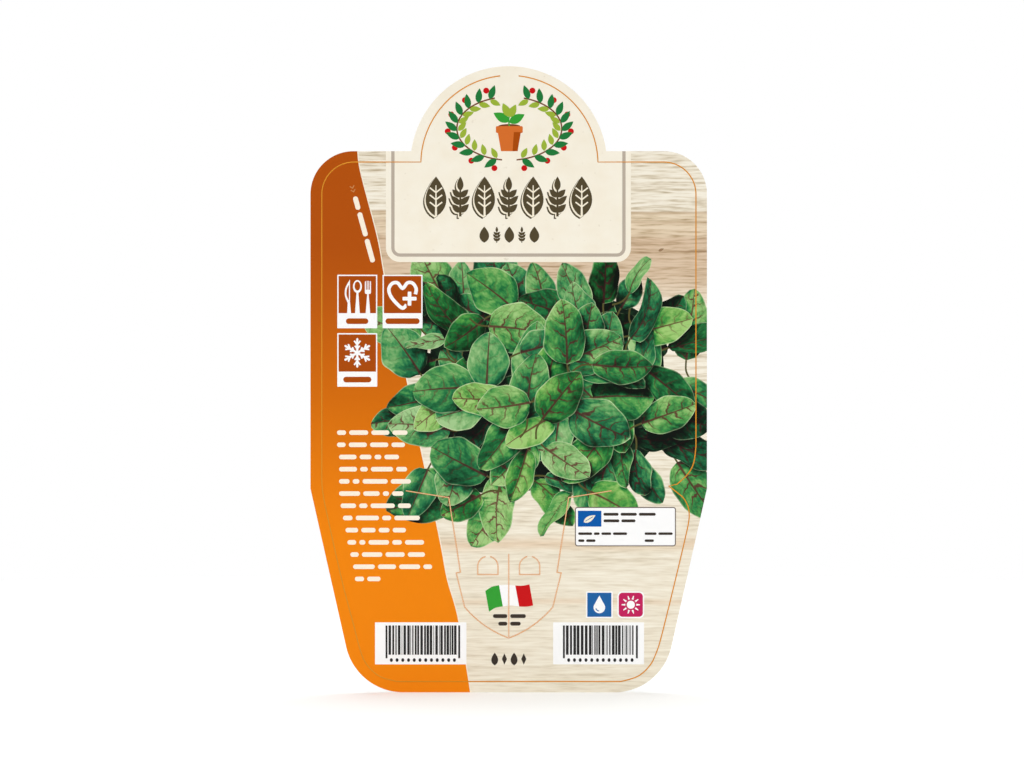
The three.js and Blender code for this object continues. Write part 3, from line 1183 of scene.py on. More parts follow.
@dataclass
class Leaf:
    """One sorrel leaf of the printed picture: a blade bent in space and seen from the front.

    base is where the blade meets its stalk. heading is the way the tip points, in degrees from +x. bow bends
    the tip away, rise lifts the blade towards the viewer at its base, roll turns it about its midrib, fold
    lifts both halves, and belly under 1 puts the widest place nearer the base. LIGHT is the way to the
    picture's light, and MIDDLE is how far along the blade its middle is taken to be.
    """

    base: Point
    length: float
    width: float
    heading: float
    bow: float
    roll: float
    fold: float
    curve: float
    tone: float
    redness: float
    warmth: float
    seed: float
    rise: float = 10.0
    belly: float = 0.86
    point: float = 0.1

    ROWS = 22
    COLUMNS = 12
    LIGHT = (-0.45, 0.66, 0.6)
    MIDDLE = 0.36

    def blade(self) -> None:
        """Works out the blade's grid: its places in the plane, its light and its own measures."""
        share = np.linspace(0.0, 1.0, self.ROWS)[:, None]
        side = np.linspace(-1.0, 1.0, self.COLUMNS + 1)[None, :]
        half = self.width / 2 * np.sin(np.pi * share**self.belly) ** (0.5 + self.point * share)
        half = np.maximum(half * (1 + 0.03 * np.sin(share * 16 + self.seed * 9 + side)), 0.02)
        pitch = radians(self.rise) - radians(self.bow) * share
        step = self.length / (self.ROWS - 1)
        forward, upward = (
            np.vstack([[0.0], np.cumsum(way(pitch[1:, 0]) * step)[:, None]]) for way in (np.cos, np.sin)
        )
        out = np.abs(side) * half
        tilt = radians(self.fold)
        wave = 0.05 * self.width * np.abs(side) ** 2 * np.sin(share * 9.0 + self.seed * 6.0 + side)
        lift = out * sin(tilt) - 0.7 * out**2 / self.width + wave
        local_x = forward - np.sin(pitch) * lift
        local_y = np.sign(side) * out * cos(tilt) + self.curve * share**2 * self.length
        local_z = upward + np.cos(pitch) * lift
        turn, yaw = radians(self.roll), radians(self.heading)
        flat_y = local_y * cos(turn) - local_z * sin(turn)
        depth = local_y * sin(turn) + local_z * cos(turn)
        x = self.base[0] + local_x * cos(yaw) - flat_y * sin(yaw)
        z = self.base[1] + local_x * sin(yaw) + flat_y * cos(yaw)
        space = np.stack([x, z, depth], axis=-1)
        self.grid = space[..., :2]
        normal = np.cross(np.gradient(space, axis=0), np.gradient(space, axis=1))
        size = np.maximum(np.linalg.norm(normal, axis=-1), 1e-9)
        toward = np.array(self.LIGHT) / np.linalg.norm(self.LIGHT)
        light = np.clip(normal @ toward / size, 0.0, 1.0)
        light[0], light[-1] = light[1], light[-2]
        rows = (share * self.length, side * half, half - out, light, share)
        self.values = np.stack(np.broadcast_arrays(*rows), axis=-1)

    def outline(self) -> Loop:
        """The blade's edge as a loop, from the stalk round the tip and back."""
        return [tuple(p) for p in np.vstack([self.grid[:, 0], self.grid[::-1, -1][1:-1]])]

    def stalk(self, length: float, width: float) -> Loop:
        """A short length of the leaf's stalk, behind the blade's foot."""
        yaw = radians(self.heading)
        spots = []
        for step, bend in ((length, 0.35), (length / 2, 0.1), (-1.0, 0.0)):
            way = yaw + bend * copysign(1.0, self.roll)
            spots.append((self.base[0] - step * cos(way), self.base[1] - step * sin(way)))
        return stroke(smooth_path(spots, 5), width)

    def measure(self, points: np.ndarray) -> np.ndarray:
        """Reads the blade's values at points of the plane.

        Args:
            points: the places, one a row.

        Returns:
            Along, across, distance from the margin, light and share of the length, for each.
        """
        index = np.arange(self.grid[..., 0].size).reshape(self.grid.shape[:2])
        a, b = index[:-1, :-1].ravel(), index[1:, :-1].ravel()
        c, d = index[1:, 1:].ravel(), index[:-1, 1:].ravel()
        tris = np.vstack([np.stack([a, b, c], 1), np.stack([a, c, d], 1)])
        flat, values = self.grid.reshape(-1, 2), self.values.reshape(-1, 5)
        p0, p1, p2 = flat[tris].swapaxes(0, 1)
        e1, e2 = p1 - p0, p2 - p0
        area = e1[:, 0] * e2[:, 1] - e1[:, 1] * e2[:, 0]
        area = np.where(np.abs(area) < 1e-9, 1e-9, area)
        result = np.zeros((len(points), 5))
        for i, point in enumerate(points):
            r = point - p0
            u = (r[:, 0] * e2[:, 1] - r[:, 1] * e2[:, 0]) / area
            v = (e1[:, 0] * r[:, 1] - e1[:, 1] * r[:, 0]) / area
            best = int(np.argmax(np.minimum(np.minimum(u, v), 1 - u - v)))
            weights = np.clip([1 - u[best] - v[best], u[best], v[best]], 0, 1)
            result[i] = (weights / weights.sum()) @ values[tris[best]]
        return result


@dataclass
class LeafPicture:
    """The printed bush of red-veined leaves: a dim layer deep inside, and the lit leaves on top of it."""

    centre: Point = (12.5, 35.5)
    half_width: float = 49.5
    half_height: float = 40.5
    squareness: float = 3.4
    deep_count: int = 34
    lit_count: int = 88
    deep_tone: float = -0.34
    deep_reach: float = 0.66
    lengths: Point = (14.5, 26.5)
    edge_on_share: float = 0.2
    reach_shift: float = 0.07
    turn_shift: float = 0.15
    order_shift: float = 0.22
    seed: int = 11
    shadow_way: Point = (-0.55, 0.83)
    shadow_steps: tuple[float, ...] = (0.35, 0.8, 1.4, 2.1, 3.0, 4.2)
    stalk_size: Point = (7.0, 0.6)
    strays: Sequence[Sequence[float]] = (
        (-21.0, 65.0, 21.0, 15.0, 118.0), (-30.0, 52.0, 22.0, 14.5, 152.0), (-13.0, 7.5, 31.0, 19.0, 210.0),
        (56.5, 12.0, 24.0, 14.5, -58.0), (59.5, 46.0, 25.0, 13.0, 84.0),
    )
    leaves: list[Leaf] = field(default_factory=list)

    def spot(self, reach: float, turn: float) -> Point:
        """A place in the bush, which is a squarish oval that is lower at its right end.

        Args:
            reach, turn: from 0 in the middle to 1 at the edge, and the way there, in radians from +x.

        Returns:
            The place.
        """
        cosine, sine = cos(turn), sin(turn)
        corner = (abs(cosine) ** self.squareness + abs(sine) ** self.squareness) ** (-1 / self.squareness)
        x = self.centre[0] + self.half_width * reach * corner * cosine
        rise = self.half_height * reach * corner * sine
        return (x, self.centre[1] + rise * (1 - 0.1 * cosine) + 2.5 * cosine)

    def grow(self) -> None:
        """Places all the leaves, from the outer ones behind to the inner ones in front."""
        draw = random.Random(self.seed)
        golden = pi * (3 - sqrt(5))
        layers = ((self.deep_count, self.deep_tone, self.deep_reach), (self.lit_count, 0.0, 1.0))
        for count, tone, far in layers:
            places = []
            for i in range(count):
                reach = far * sqrt((count - i - 0.4) / count)
                reach += draw.uniform(-self.reach_shift, self.reach_shift)
                turn = golden * i + draw.uniform(-self.turn_shift, self.turn_shift)
                places.append((min(max(reach, 0.0), 1.0), turn))
            # Nearby leaves change places now and then, so that the bush isn't a neat rosette
            places.sort(key=lambda place: draw.uniform(-self.order_shift, self.order_shift) - place[0])
            self.leaves += [self.leaf_at(draw, reach, turn, tone) for reach, turn in places]
        first = self.deep_count
        self.leaves[first:first] = [self.stray(draw, *place) for place in self.strays]
        for leaf in self.leaves:
            leaf.blade()

    @staticmethod
    def stray(draw: random.Random, x: float, z: float, length: float, width: float, heading: float) -> Leaf:
        """A leaf that hangs out of the bush at a set place, behind all the lit ones."""
        shape = {"bow": 34.0, "fold": draw.uniform(10, 22), "curve": draw.uniform(-0.1, 0.1)}
        look = {"tone": draw.uniform(0.56, 0.76), "redness": 1.0, "warmth": 0.4, "seed": draw.uniform(0, 10)}
        return Leaf((x, z), length, width, heading, roll=draw.uniform(-14, 14), **shape, **look)

    def leaf_at(self, draw: random.Random, reach: float, turn: float, tone: float) -> Leaf:
        """Draws one leaf.

        Args:
            draw, tone: the seeded source of chance, and how much brighter than usual the layer is.
            reach, turn: how far out in the bush the leaf's middle is, from 0 to 1, and which way.

        Returns:
            The leaf.
        """
        heading = degrees(turn) + draw.gauss(0.0, 1.0) * (80 - 54 * reach)
        least, most = self.lengths
        size = least + (most - least) * draw.betavariate(2.0, 2.0) - 1.5 * reach
        edge_on = draw.random() < self.edge_on_share
        middle = self.spot(reach, turn)
        yaw = radians(heading)
        base = (middle[0] - Leaf.MIDDLE * size * cos(yaw), middle[1] - Leaf.MIDDLE * size * sin(yaw))
        return Leaf(
            base, size, size * draw.uniform(0.58, 0.86), heading,
            bow=draw.uniform(8, 62), rise=draw.uniform(5, 38),
            roll=draw.choice((-1, 1)) * draw.uniform(44, 64) if edge_on else draw.uniform(-26, 26),
            fold=draw.uniform(6, 32), curve=draw.uniform(-0.14, 0.14),
            belly=draw.uniform(0.72, 1.0), point=draw.uniform(0.0, 0.24),
            tone=tone + 0.66 - 0.12 * reach + draw.uniform(-0.22, 0.24),
            redness=draw.choice([0.3, 0.6, 0.85, 1.0, 1.0]),
            warmth=draw.choice([0.0, 0.0, 0.2, 0.45, 0.75]),
            seed=draw.uniform(0, 10),
        )

    def lay_on(self, plane: FlatMap, covers: Sequence[Path]) -> None:
        """Lays the hollows, stalks and leaves, with points inside each leaf where no cover hides it."""
        turns = [2 * pi * i / 48 for i in range(48)]
        plane.lay("leaf_hollows", ShadePrint(), [self.spot(0.8, turn) for turn in turns])
        outlines = [leaf.outline() for leaf in self.leaves]
        for number, (leaf, outline) in enumerate(zip(self.leaves, outlines)):
            if number >= self.deep_count:
                plane.lay("leaf_stalks", STALK_INK, leaf.stalk(*self.stalk_size))
            plane.lay(self.leaf_name(number), LeafPrint(), outline)
            inner = leaf.grid[1:-1, 1:-1].reshape(-1, 2)
            keep = np.ones(len(inner), bool)
            for above in [*outlines[number + 1 :], *covers]:
                keep &= ~inside(inner, above)
            plane.spots += [tuple(p) for p in inner[keep]]

    @staticmethod
    def leaf_name(number: int) -> str:
        """The name of one leaf's print."""
        return f"leaf_print_{number + 1:03d}"

    def dress(self, piece: Piece, number: int) -> None:
        """Writes the measures and light of the leaf with this number on its piece's mesh."""
        leaf = self.leaves[number]
        places = np.empty(len(piece.data.vertices) * 3, np.float32)
        piece.data.vertices.foreach_get("co", places)
        front = places[: len(places) // 2].reshape(-1, 3)[:, [0, 2]].astype(float) / MM
        found, ones, covered = leaf.measure(front), np.ones(len(front)), np.zeros(len(front))
        above = [later.outline() for later in self.leaves[number + 1 :]]
        for step in self.shadow_steps:
            shaded = front + np.array(self.shadow_way) * step
            covered += np.any([inside(shaded, loop) for loop in above], axis=0) / len(self.shadow_steps)
        look = np.stack([leaf.tone * ones, found[:, 3], covered], axis=1)
        kind = np.stack([found[:, 4], leaf.redness * ones, leaf.warmth * ones], axis=1)
        for part, rows in zip(LeafPrint.parts, (found[:, :3], look, kind)):
            layer = piece.data.attributes.new(f"leaf_{part}", "FLOAT_VECTOR", "POINT")
            layer.data.foreach_set("vector", np.vstack([rows, rows]).astype(np.float32).ravel())
        layer = piece.data.attributes.new("leaf_seed", "FLOAT", "POINT")
        layer.data.foreach_set("value", np.full(2 * len(front), leaf.seed, np.float32))


class PrintedPart:
    """A part of the print: large shapes that lie side by side in one film, and fine print over them."""

    def lay_on(self, plane: FlatMap) -> None:
        """Lays the part's large shapes on the map of the film."""

    def print_over(self, press: Press) -> None:
        """Prints the part's fine shapes over the film."""


@dataclass
class Ground(PrintedPart):
    """The wood that fills the label, and the orange band with its waved edge down the left side."""

    die: DieLine
    hairline: float = 0.35
    knot: Point = (50.2, 82.7)
    band_edge: Path = (
        (-50.9, 117.5), (-49.8, 109.0), (-44.2, 87.4), (-41.7, 73.7), (-37.4, 54.6), (-30.4, 20.0),
        (-23.3, -13.9), (-20.8, -27.2), (-17.4, -39.1), (-14.4, -56.2), (-12.8, -66.5),
    )

    def band(self, growth: float) -> Loop:
        """The orange band, from beyond the label's left edge to its waved right edge."""
        edge = smooth_path(self.band_edge, 6)
        far = -self.die.width / 2 - 2
        return [(far, edge[-1][1]), *[(x + growth, z) for x, z in reversed(edge)], (far, edge[0][1])]

    def lay_on(self, plane: FlatMap) -> None:
        """Lays the wood, the pale hairline beside the band, and the band."""
        plane.lay("wood_print", WoodPrint(), self.die.outline())
        plane.lay("wood_knot", KNOT_INK, blade_shape(self.knot, 2.0, 0.9, 24))
        plane.lay("band_hairline", CREAM_INK, self.band(self.hairline))
        plane.lay("band_print", BandPrint(), self.band(0.0))


@dataclass
class Plaque(PrintedPart):
    """The cream plaque that fills the head, its stone keyline, and two rows of leaves for a title."""

    head_z: float
    left: float = -41.2
    right: float = 41.0
    foot: float = 79.0
    radius: float = 4.7
    keyline_gap: float = 1.8
    keyline_width: float = 1.1
    title: Row = Row((-24.4, 94.3), 7, 8.15)
    title_height: float = 13.4
    shadow_step: float = 0.42
    second: Row = Row((-8.2, 85.5), 5, 4.2)
    second_height: float = 5.4

    def outline(self, inset: float = 0.0) -> Loop:
        """The plaque's outline, moved inwards; its head runs off the label."""
        radius = max(self.radius - inset, 0.8)
        return rounded_box(self.left + inset, self.foot + inset, self.right - inset, self.head_z, radius)

    def lay_on(self, plane: FlatMap) -> None:
        """Lays the plaque, and its keyline as a frame within it."""
        inner = self.keyline_gap + self.keyline_width
        plane.lay("plaque_print", PlaquePrint(), self.outline())
        plane.lay("plaque_keyline", KEYLINE_INK, self.outline(self.keyline_gap))
        plane.lay("plaque_print", PlaquePrint(), self.outline(inner))

    @staticmethod
    def single_leaf(height: float, ribbed: bool) -> Patch:
        """An upright leaf, whose midrib and side ribs can be left out of the ink."""
        width = height * 0.52
        blade = blade_shape((0.0, 0.0), height, width, 90, 14)
        rib = height * 0.028
        ribs = [[(-rib, -rib), (rib, -rib), (rib * 0.4, height * 0.78), (-rib * 0.4, height * 0.78)]]
        for share in (0.24, 0.42, 0.6):
            for side in (-1, 1):
                foot, tip = (0.0, height * share), (side * width * 0.3, height * (share + 0.12))
                ribs.append(stroke([foot, tip], rib * 1.3))
        return flat_patch([blade], ribs if ribbed else [])

    @staticmethod
    def sprig(height: float) -> Patch:
        """An upright stem with pairs of small leaves and one at its tip."""
        foot, head = height * 0.03, height * 0.02
        stem = [(-foot, 0.0), (foot, 0.0), (head, height * 0.7), (-head, height * 0.7)]
        leaves = [blade_shape((0.0, height * 0.64), height * 0.36, height * 0.16, 90, 7)]
        for share, length in ((0.1, 0.3), (0.29, 0.33), (0.48, 0.28)):
            for side in (-1, 1):
                heading = 90 - side * 46
                leaves.append(blade_shape((0.0, height * share), height * length, height * 0.15, heading, 7))
        return flat_patch([stem, *leaves])

    def print_over(self, press: Press) -> None:
        """Prints both rows of leaves, the larger with a thin shadow line at its lower left."""
        layers = [
            ("title_shadow", BROWN_INK, UNDER_LEVEL, 2),
            ("title_gap", CREAM_INK, MIDDLE_LEVEL, 1),
            ("title_leaves", BROWN_INK, OVER_LEVEL, 0),
        ]
        x, z = self.title.start
        for name, ink, level, steps in layers:
            shapes = self.single_leaf(self.title_height, steps == 0), self.sprig(self.title_height)
            shift = self.shadow_step * steps
            press.marks(name, ink, shapes, replace(self.title, start=(x - shift, z - shift)), level)
        small = self.second_height
        leaf = flat_patch([blade_shape((0.0, 0.0), small, small * 0.6, 90)])
        press.marks("second_row_leaves", BROWN_INK, (leaf, self.sprig(small)), self.second)


@dataclass
class Emblem(PrintedPart):
    """A wreath of leaves and berries round a seedling in a clay pot, in the head of the plaque."""

    middle: Point = (0.2, 123.8)
    half_width: float = 17.6
    half_height: float = 10.6
    outer_leaf: Point = (5.0, 2.25)
    inner_leaf: Point = (3.9, 1.9)
    leaf_count: int = 11
    first_turn: float = -76.0
    last_turn: float = 68.0
    stem_width: float = 0.5
    berry_radius: float = 1.0
    berry_reach: float = 3.1
    berry_count: int = 7
    pot_height: float = 6.4
    pot_width: float = 9.0
    rim_height: float = 2.0

    def ring(self, shape: Patch, count: int, reach: float, lean: float, side: int) -> dict[str, object]:
        """The inputs for a row of copies along one branch of the wreath.

        Args:
            shape, count, side: what is repeated, how often, and 1 for the right branch or -1 for the left.
            reach, lean: how far outside the branch it stands and how far it leans to the tip, in degrees.

        Returns:
            The ring tree's inputs.
        """
        first = radians(self.first_turn)
        step = radians((self.last_turn - self.first_turn) / (count - 1))
        return {
            "shape": shape_object("ring_shape", shape),
            "count": count,
            "half_width": (self.half_width + reach) * MM,
            "half_height": (self.half_height + reach) * MM,
            "first_turn": first if side > 0 else pi - first,
            "step": side * step,
            "lean": side * radians(lean),
            "middle": (self.middle[0] * MM, self.middle[1] * MM, 0.0),
        }

    def branch(self, side: int) -> Loop:
        """The stem of one branch, from the wreath's foot to its tip."""
        turns = np.radians(np.linspace(self.first_turn - 6, self.last_turn + 6, 40))
        x = self.middle[0] + side * self.half_width * np.cos(turns)
        z = self.middle[1] + self.half_height * np.sin(turns)
        return list(zip(x.tolist(), z.tolist()))

    def print_over(self, press: Press) -> None:
        """Prints the wreath's two branches, then the pot and its seedling."""
        outer, inner = (
            flat_patch([blade_shape((0.0, 0.0), *size, 90, 7)]) for size in (self.outer_leaf, self.inner_leaf)
        )
        berry = flat_patch([ellipse((0.0, 0.0), self.berry_radius, self.berry_radius, 18)])
        stems = path_object("branch_paths", [self.branch(-1), self.branch(1)])
        press.run(press.line, "wreath_stems", SOIL_INK, {"width": self.stem_width * MM}, stems, UNDER_LEVEL)
        for side, hand in ((-1, "left"), (1, "right")):
            rows = (
                ("outer", FOREST_INK, outer, self.leaf_count, 0.0, 42.0, OVER_LEVEL),
                ("inner", LIME_INK, inner, self.leaf_count, -0.4, 138.0, MIDDLE_LEVEL),
                ("berry", RED_INK, berry, self.berry_count, self.berry_reach, 0.0, MIDDLE_LEVEL),
            )
            for part, ink, shape, count, reach, lean, level in rows:
                values = self.ring(shape, count, reach, lean, side)
                press.run(press.ring, f"wreath_{part}_{hand}", ink, values, level=level)
        self.print_pot(press)

    def print_pot(self, press: Press) -> None:
        """Prints the clay pot, the soil in it and the seedling."""
        x, foot = self.middle[0], self.middle[1] - 7.6
        half, neck = self.pot_width / 2, foot + self.pot_height
        low, high = half * 0.62, half * 0.86
        body = [(x - low, foot), (x + low, foot), (x + high, neck), (x - high, neck)]
        rim = rounded_box(x - half, neck - 0.3, x + half, neck + self.rim_height, 0.4)
        shade = [(x + half * 0.24, foot), (x + low, foot), (x + high, neck), (x + half * 0.34, neck)]
        top = neck + self.rim_height
        soil = ellipse((x, top), half * 0.82, 0.7, 24)
        press.film("pot_body", CLAY_INK, flat_patch([body, rim]), MIDDLE_LEVEL)
        press.film("pot_shade", TILE_INK, flat_patch([shade]))
        press.film("pot_soil", SOIL_INK, flat_patch([soil], [rim]), UNDER_LEVEL)
        stalk = stroke(smooth_path([(x, top), (x - 0.2, top + 2.2), (x + 0.2, top + 4.2)], 6), 0.5)
        dark = [blade_shape((x, top + 1.6), 6.0, 3.1, 152), blade_shape((x, top + 1.2), 5.8, 3.0, 28)]
        light = [blade_shape((x, top + 3.2), 5.0, 2.6, 116), blade_shape((x, top + 3.0), 4.8, 2.5, 62)]
        press.film("seedling_low_leaves", GREEN_INK, flat_patch([stalk, *dark]), MIDDLE_LEVEL)
        press.film("seedling_top_leaves", LIME_INK, flat_patch(light))


@dataclass
class Tile(PrintedPart):
    """One use tile: a burnt orange field with a white pictogram, a white frame and a caption strip."""

    name: str
    corner: Point
    caption: Point
    width: float = 13.4
    height: float = 17.95
    frame: float = 0.42
    strip: float = 5.05
    bar_height: float = 1.9

    def at(self, *loops: Path) -> list[Loop]:
        """The loops, moved from the tile's own corner to their place."""
        return [moved(loop, self.corner) for loop in loops]

    def lay_on(self, plane: FlatMap) -> None:
        """Lays the frame and strip in one white, then the field and the pictogram."""
        box = rounded_box(0.0, 0.0, self.width, self.height, 0.15, 2)
        edge = self.frame
        field_box = rounded_box(edge, self.strip, self.width - edge, self.height - edge, 0.1, 2)
        plane.lay(f"{self.name}_frame", WHITE_INK, *self.at(box))
        plane.lay(f"{self.name}_field", TILE_INK, *self.at(field_box))
        self.lay_sign(plane)

    def lay_sign(self, plane: FlatMap) -> None:
        """Lays the pictogram."""

    def print_over(self, press: Press) -> None:
        """Prints a bar in the caption's place."""
        start, end = self.caption
        place = (self.corner[0] + (start + end) / 2, self.corner[1] + self.strip * 0.47)
        press.text(f"{self.name}_caption", TILE_INK, self.bar_height, [Word(place, end - start)])


@dataclass
class KitchenTile(Tile):
    """The tile for cooking, with a knife, a spoon and a fork."""

    def lay_sign(self, plane: FlatMap) -> None:
        """Lays the three tools, whose handles run down into the strip."""
        foot = self.strip - 0.1
        knife = smooth_path([(3.5, 8.4), (2.55, 11.0), (2.75, 13.6), (4.25, 16.4)], 6) + [(4.25, 8.4)]
        knife_gap = smooth_path([(3.8, 9.4), (3.1, 11.2), (3.25, 13.3), (3.9, 14.6)], 6) + [(3.9, 9.4)]
        knife_handle = [(3.3, foot), (4.6, foot), (4.3, 8.7), (3.5, 8.7)]
        bowl = ellipse((6.75, 14.0), 1.5, 2.15, 28)
        bowl_gap = ellipse((6.75, 14.15), 0.95, 1.5, 24)
        spoon_handle = [(5.95, foot), (7.55, foot), (7.05, 12.2), (6.45, 12.2)]
        fork_head = rounded_box(9.25, 11.5, 11.3, 15.9, 0.5, 4)
        fork_handle = [(9.5, foot), (11.05, foot), (10.5, 11.8), (10.05, 11.8)]
        slots = [rounded_box(x - 0.14, 12.9, x + 0.14, 16.2, 0.12, 3) for x in (9.77, 10.28, 10.79)]
        tools = [knife, knife_handle, bowl, spoon_handle, fork_head, fork_handle]
        plane.lay(f"{self.name}_frame", WHITE_INK, *self.at(*tools))
        plane.lay(f"{self.name}_field", TILE_INK, *self.at(knife_gap, bowl_gap, *slots))


@dataclass
class HealthTile(Tile):
    """The tile for well-being, with a heart's outline and a plus."""

    line: float = 1.15
    plus: Point = (9.03, 9.93)
    heart: Path = (
        (11.0, 11.4), (11.25, 13.3), (10.1, 15.1), (8.3, 15.2), (6.7, 13.4), (5.0, 15.2), (3.2, 15.0),
        (2.1, 13.2), (2.7, 10.8), (4.6, 8.4), (6.7, 6.75), (8.0, 7.9),
    )

    def lay_sign(self, plane: FlatMap) -> None:
        """Lays the open heart, then the plus with a gap round it."""
        heart = stroke(smooth_path(self.heart, 5), self.line)
        x, z = self.plus
        arms, gaps = [], []
        for loops, growth, radius in ((arms, 0.0, 0.25), (gaps, 0.45, 0.3)):
            long, short = 2.35 + growth, 0.62 + growth
            loops.append(rounded_box(x - short, z - long, x + short, z + long, radius, 3))
            loops.append(rounded_box(x - long, z - short, x + long, z + short, radius, 3))
        plane.lay(f"{self.name}_sign", WHITE_INK, *self.at(heart))
        plane.lay(f"{self.name}_field", TILE_INK, *self.at(*gaps))
        plane.lay(f"{self.name}_sign", WHITE_INK, *self.at(*arms))


@dataclass
class FreezerTile(Tile):
    """The tile for freezing, with a snow crystal of six arms."""

    middle: Point = (6.7, 11.35)
    arm: float = 4.85
    stem: float = 0.36

    def arm_shape(self) -> Loop:
        """One arm, with its foot in the crystal's middle."""
        lean, thick = radians(52), 0.55
        right = [(self.stem, 0.0)]
        for place, length in ((1.35, 1.1), (2.75, 1.45)):
            tip = (self.stem + length * cos(lean), place + length * sin(lean))
            over = (tip[0] - thick * sin(lean), tip[1] + thick * cos(lean))
            right += [(self.stem, place), tip, over, (self.stem, place + thick / cos(lean))]
        right.append((self.stem, self.arm - 0.15))
        return [*right, (0.0, self.arm + 0.15), *[(-x, z) for x, z in reversed(right)]]

    def print_over(self, press: Press) -> None:
        """Prints the caption's bar and the crystal, as six turns of one arm."""
        super().print_over(press)
        arms = [moved(self.arm_shape(), self.middle, pi / 3 * turn) for turn in range(6)]
        press.film("freezer_crystal", WHITE_INK, flat_patch(self.at(*arms)))


@dataclass
class TillCode(PrintedPart):
    """A white box with upright bars of random widths and a row of dots, which together spell nothing."""

    name: str
    box: Box
    bars: Point
    seed: int
    bar_foot: float = -52.7
    bar_top: float = -42.9
    bar_count: int = 24
    guard: float = 0.62
    guard_foot: float = -53.9
    dot_radius: float = 0.5
    dot_z: float = -54.5
    dot_margin: float = 1.3
    dot_count: int = 12

    def lay_on(self, plane: FlatMap) -> None:
        """Lays the white box."""
        plane.lay(f"{self.name}_box", WHITE_INK, rounded_box(*self.box, 0.12, 2))

    def print_over(self, press: Press) -> None:
        """Prints the bars, a longer guard bar at each end, and the dots."""
        start, end = self.bars
        clear = self.guard * 1.6
        values = {
            "count": self.bar_count,
            "span": (end - start - 2 * clear) * MM,
            "height": (self.bar_top - self.bar_foot) * MM,
            "seed": self.seed,
            "start": ((start + clear) * MM, (self.bar_foot + self.bar_top) / 2 * MM, 0.0),
        }
        press.run(press.bars, f"{self.name}_bars", BLACK_INK, values)
        edges = (start, end - self.guard)
        guards = [rounded_box(x, self.guard_foot, x + self.guard, self.bar_top, 0.02, 1) for x in edges]
        press.film(f"{self.name}_guards", BLACK_INK, flat_patch(guards))
        dot = flat_patch([ellipse((0.0, 0.0), self.dot_radius, self.dot_radius * 1.25, 14)])
        first = start + self.guard + self.dot_margin
        pitch = (end - start - 2 * self.guard - 2 * self.dot_margin) / (self.dot_count - 1)
        row = Row((first, self.dot_z), self.dot_count, pitch)
        press.marks(f"{self.name}_dots", BLACK_INK, (dot, dot), row)


@dataclass
class PlantCard(PrintedPart):
    """The white card with a grey outline, a blue field with a pale leaf, and rows of bars for its words."""

    box: Box = (22.2, -16.35, 56.1, -3.15)
    outline: float = 0.34
    radius: float = 0.95
    field_box: Box = (23.2, -9.75, 31.1, -4.4)
    head_lines: Sequence[Path] = (((31.8, -5.6), (49.3, -5.6)), ((31.8, -7.8), (42.5, -7.8)))
    row_lines: Sequence[Path] = (
        ((23.3, -12.1), (39.7, -12.1)), ((45.6, -12.1), (55.0, -12.1)),
        ((23.3, -14.45), (29.1, -14.45)), ((45.6, -14.45), (48.7, -14.45)),
    )
    head_height: float = 0.95
    head_sizes: Point = (2.4, 5.2)
    head_gap: float = 0.7
    row_height: float = 0.85
    row_sizes: Point = (1.8, 4.8)
    row_gap: float = 0.6
    seed: int = 5

    def lay_on(self, plane: FlatMap) -> None:
        """Lays the outline, the white card, the blue field and its leaf."""
        left, bottom, right, top = self.box
        edge = self.outline
        inner = (left + edge, bottom + edge, right - edge, top - edge)
        blue = self.field_box
        foot = ((blue[0] + blue[2]) / 2 - 2.0, (blue[1] + blue[3]) / 2 - 1.2)
        plane.lay("plant_card_outline", GREY_INK, rounded_box(*self.box, self.radius))
        plane.lay("plant_card", WHITE_INK, rounded_box(*inner, self.radius - edge))
        plane.lay("plant_card_field", BLUE_INK, rounded_box(*blue, 0.1, 2))
        plane.lay("plant_card_leaf", CREAM_INK, blade_shape(foot, 4.6, 1.9, 31))
        rib = stroke([(foot[0] + 0.6, foot[1] + 0.36), (foot[0] + 3.1, foot[1] + 1.86)], 0.22)
        plane.lay("plant_card_field", BLUE_INK, rib)

    def print_over(self, press: Press) -> None:
        """Prints the bars of both sizes."""
        draw = random.Random(self.seed)
        for part, lines, height, sizes, gap in (
            ("head", self.head_lines, self.head_height, self.head_sizes, self.head_gap),
            ("row", self.row_lines, self.row_height, self.row_sizes, self.row_gap),
        ):
            words = [word for a, b in lines for word in words_between(a, b, draw, sizes, gap)]
            press.text(f"plant_card_{part}_words", DARK_INK, height, words)


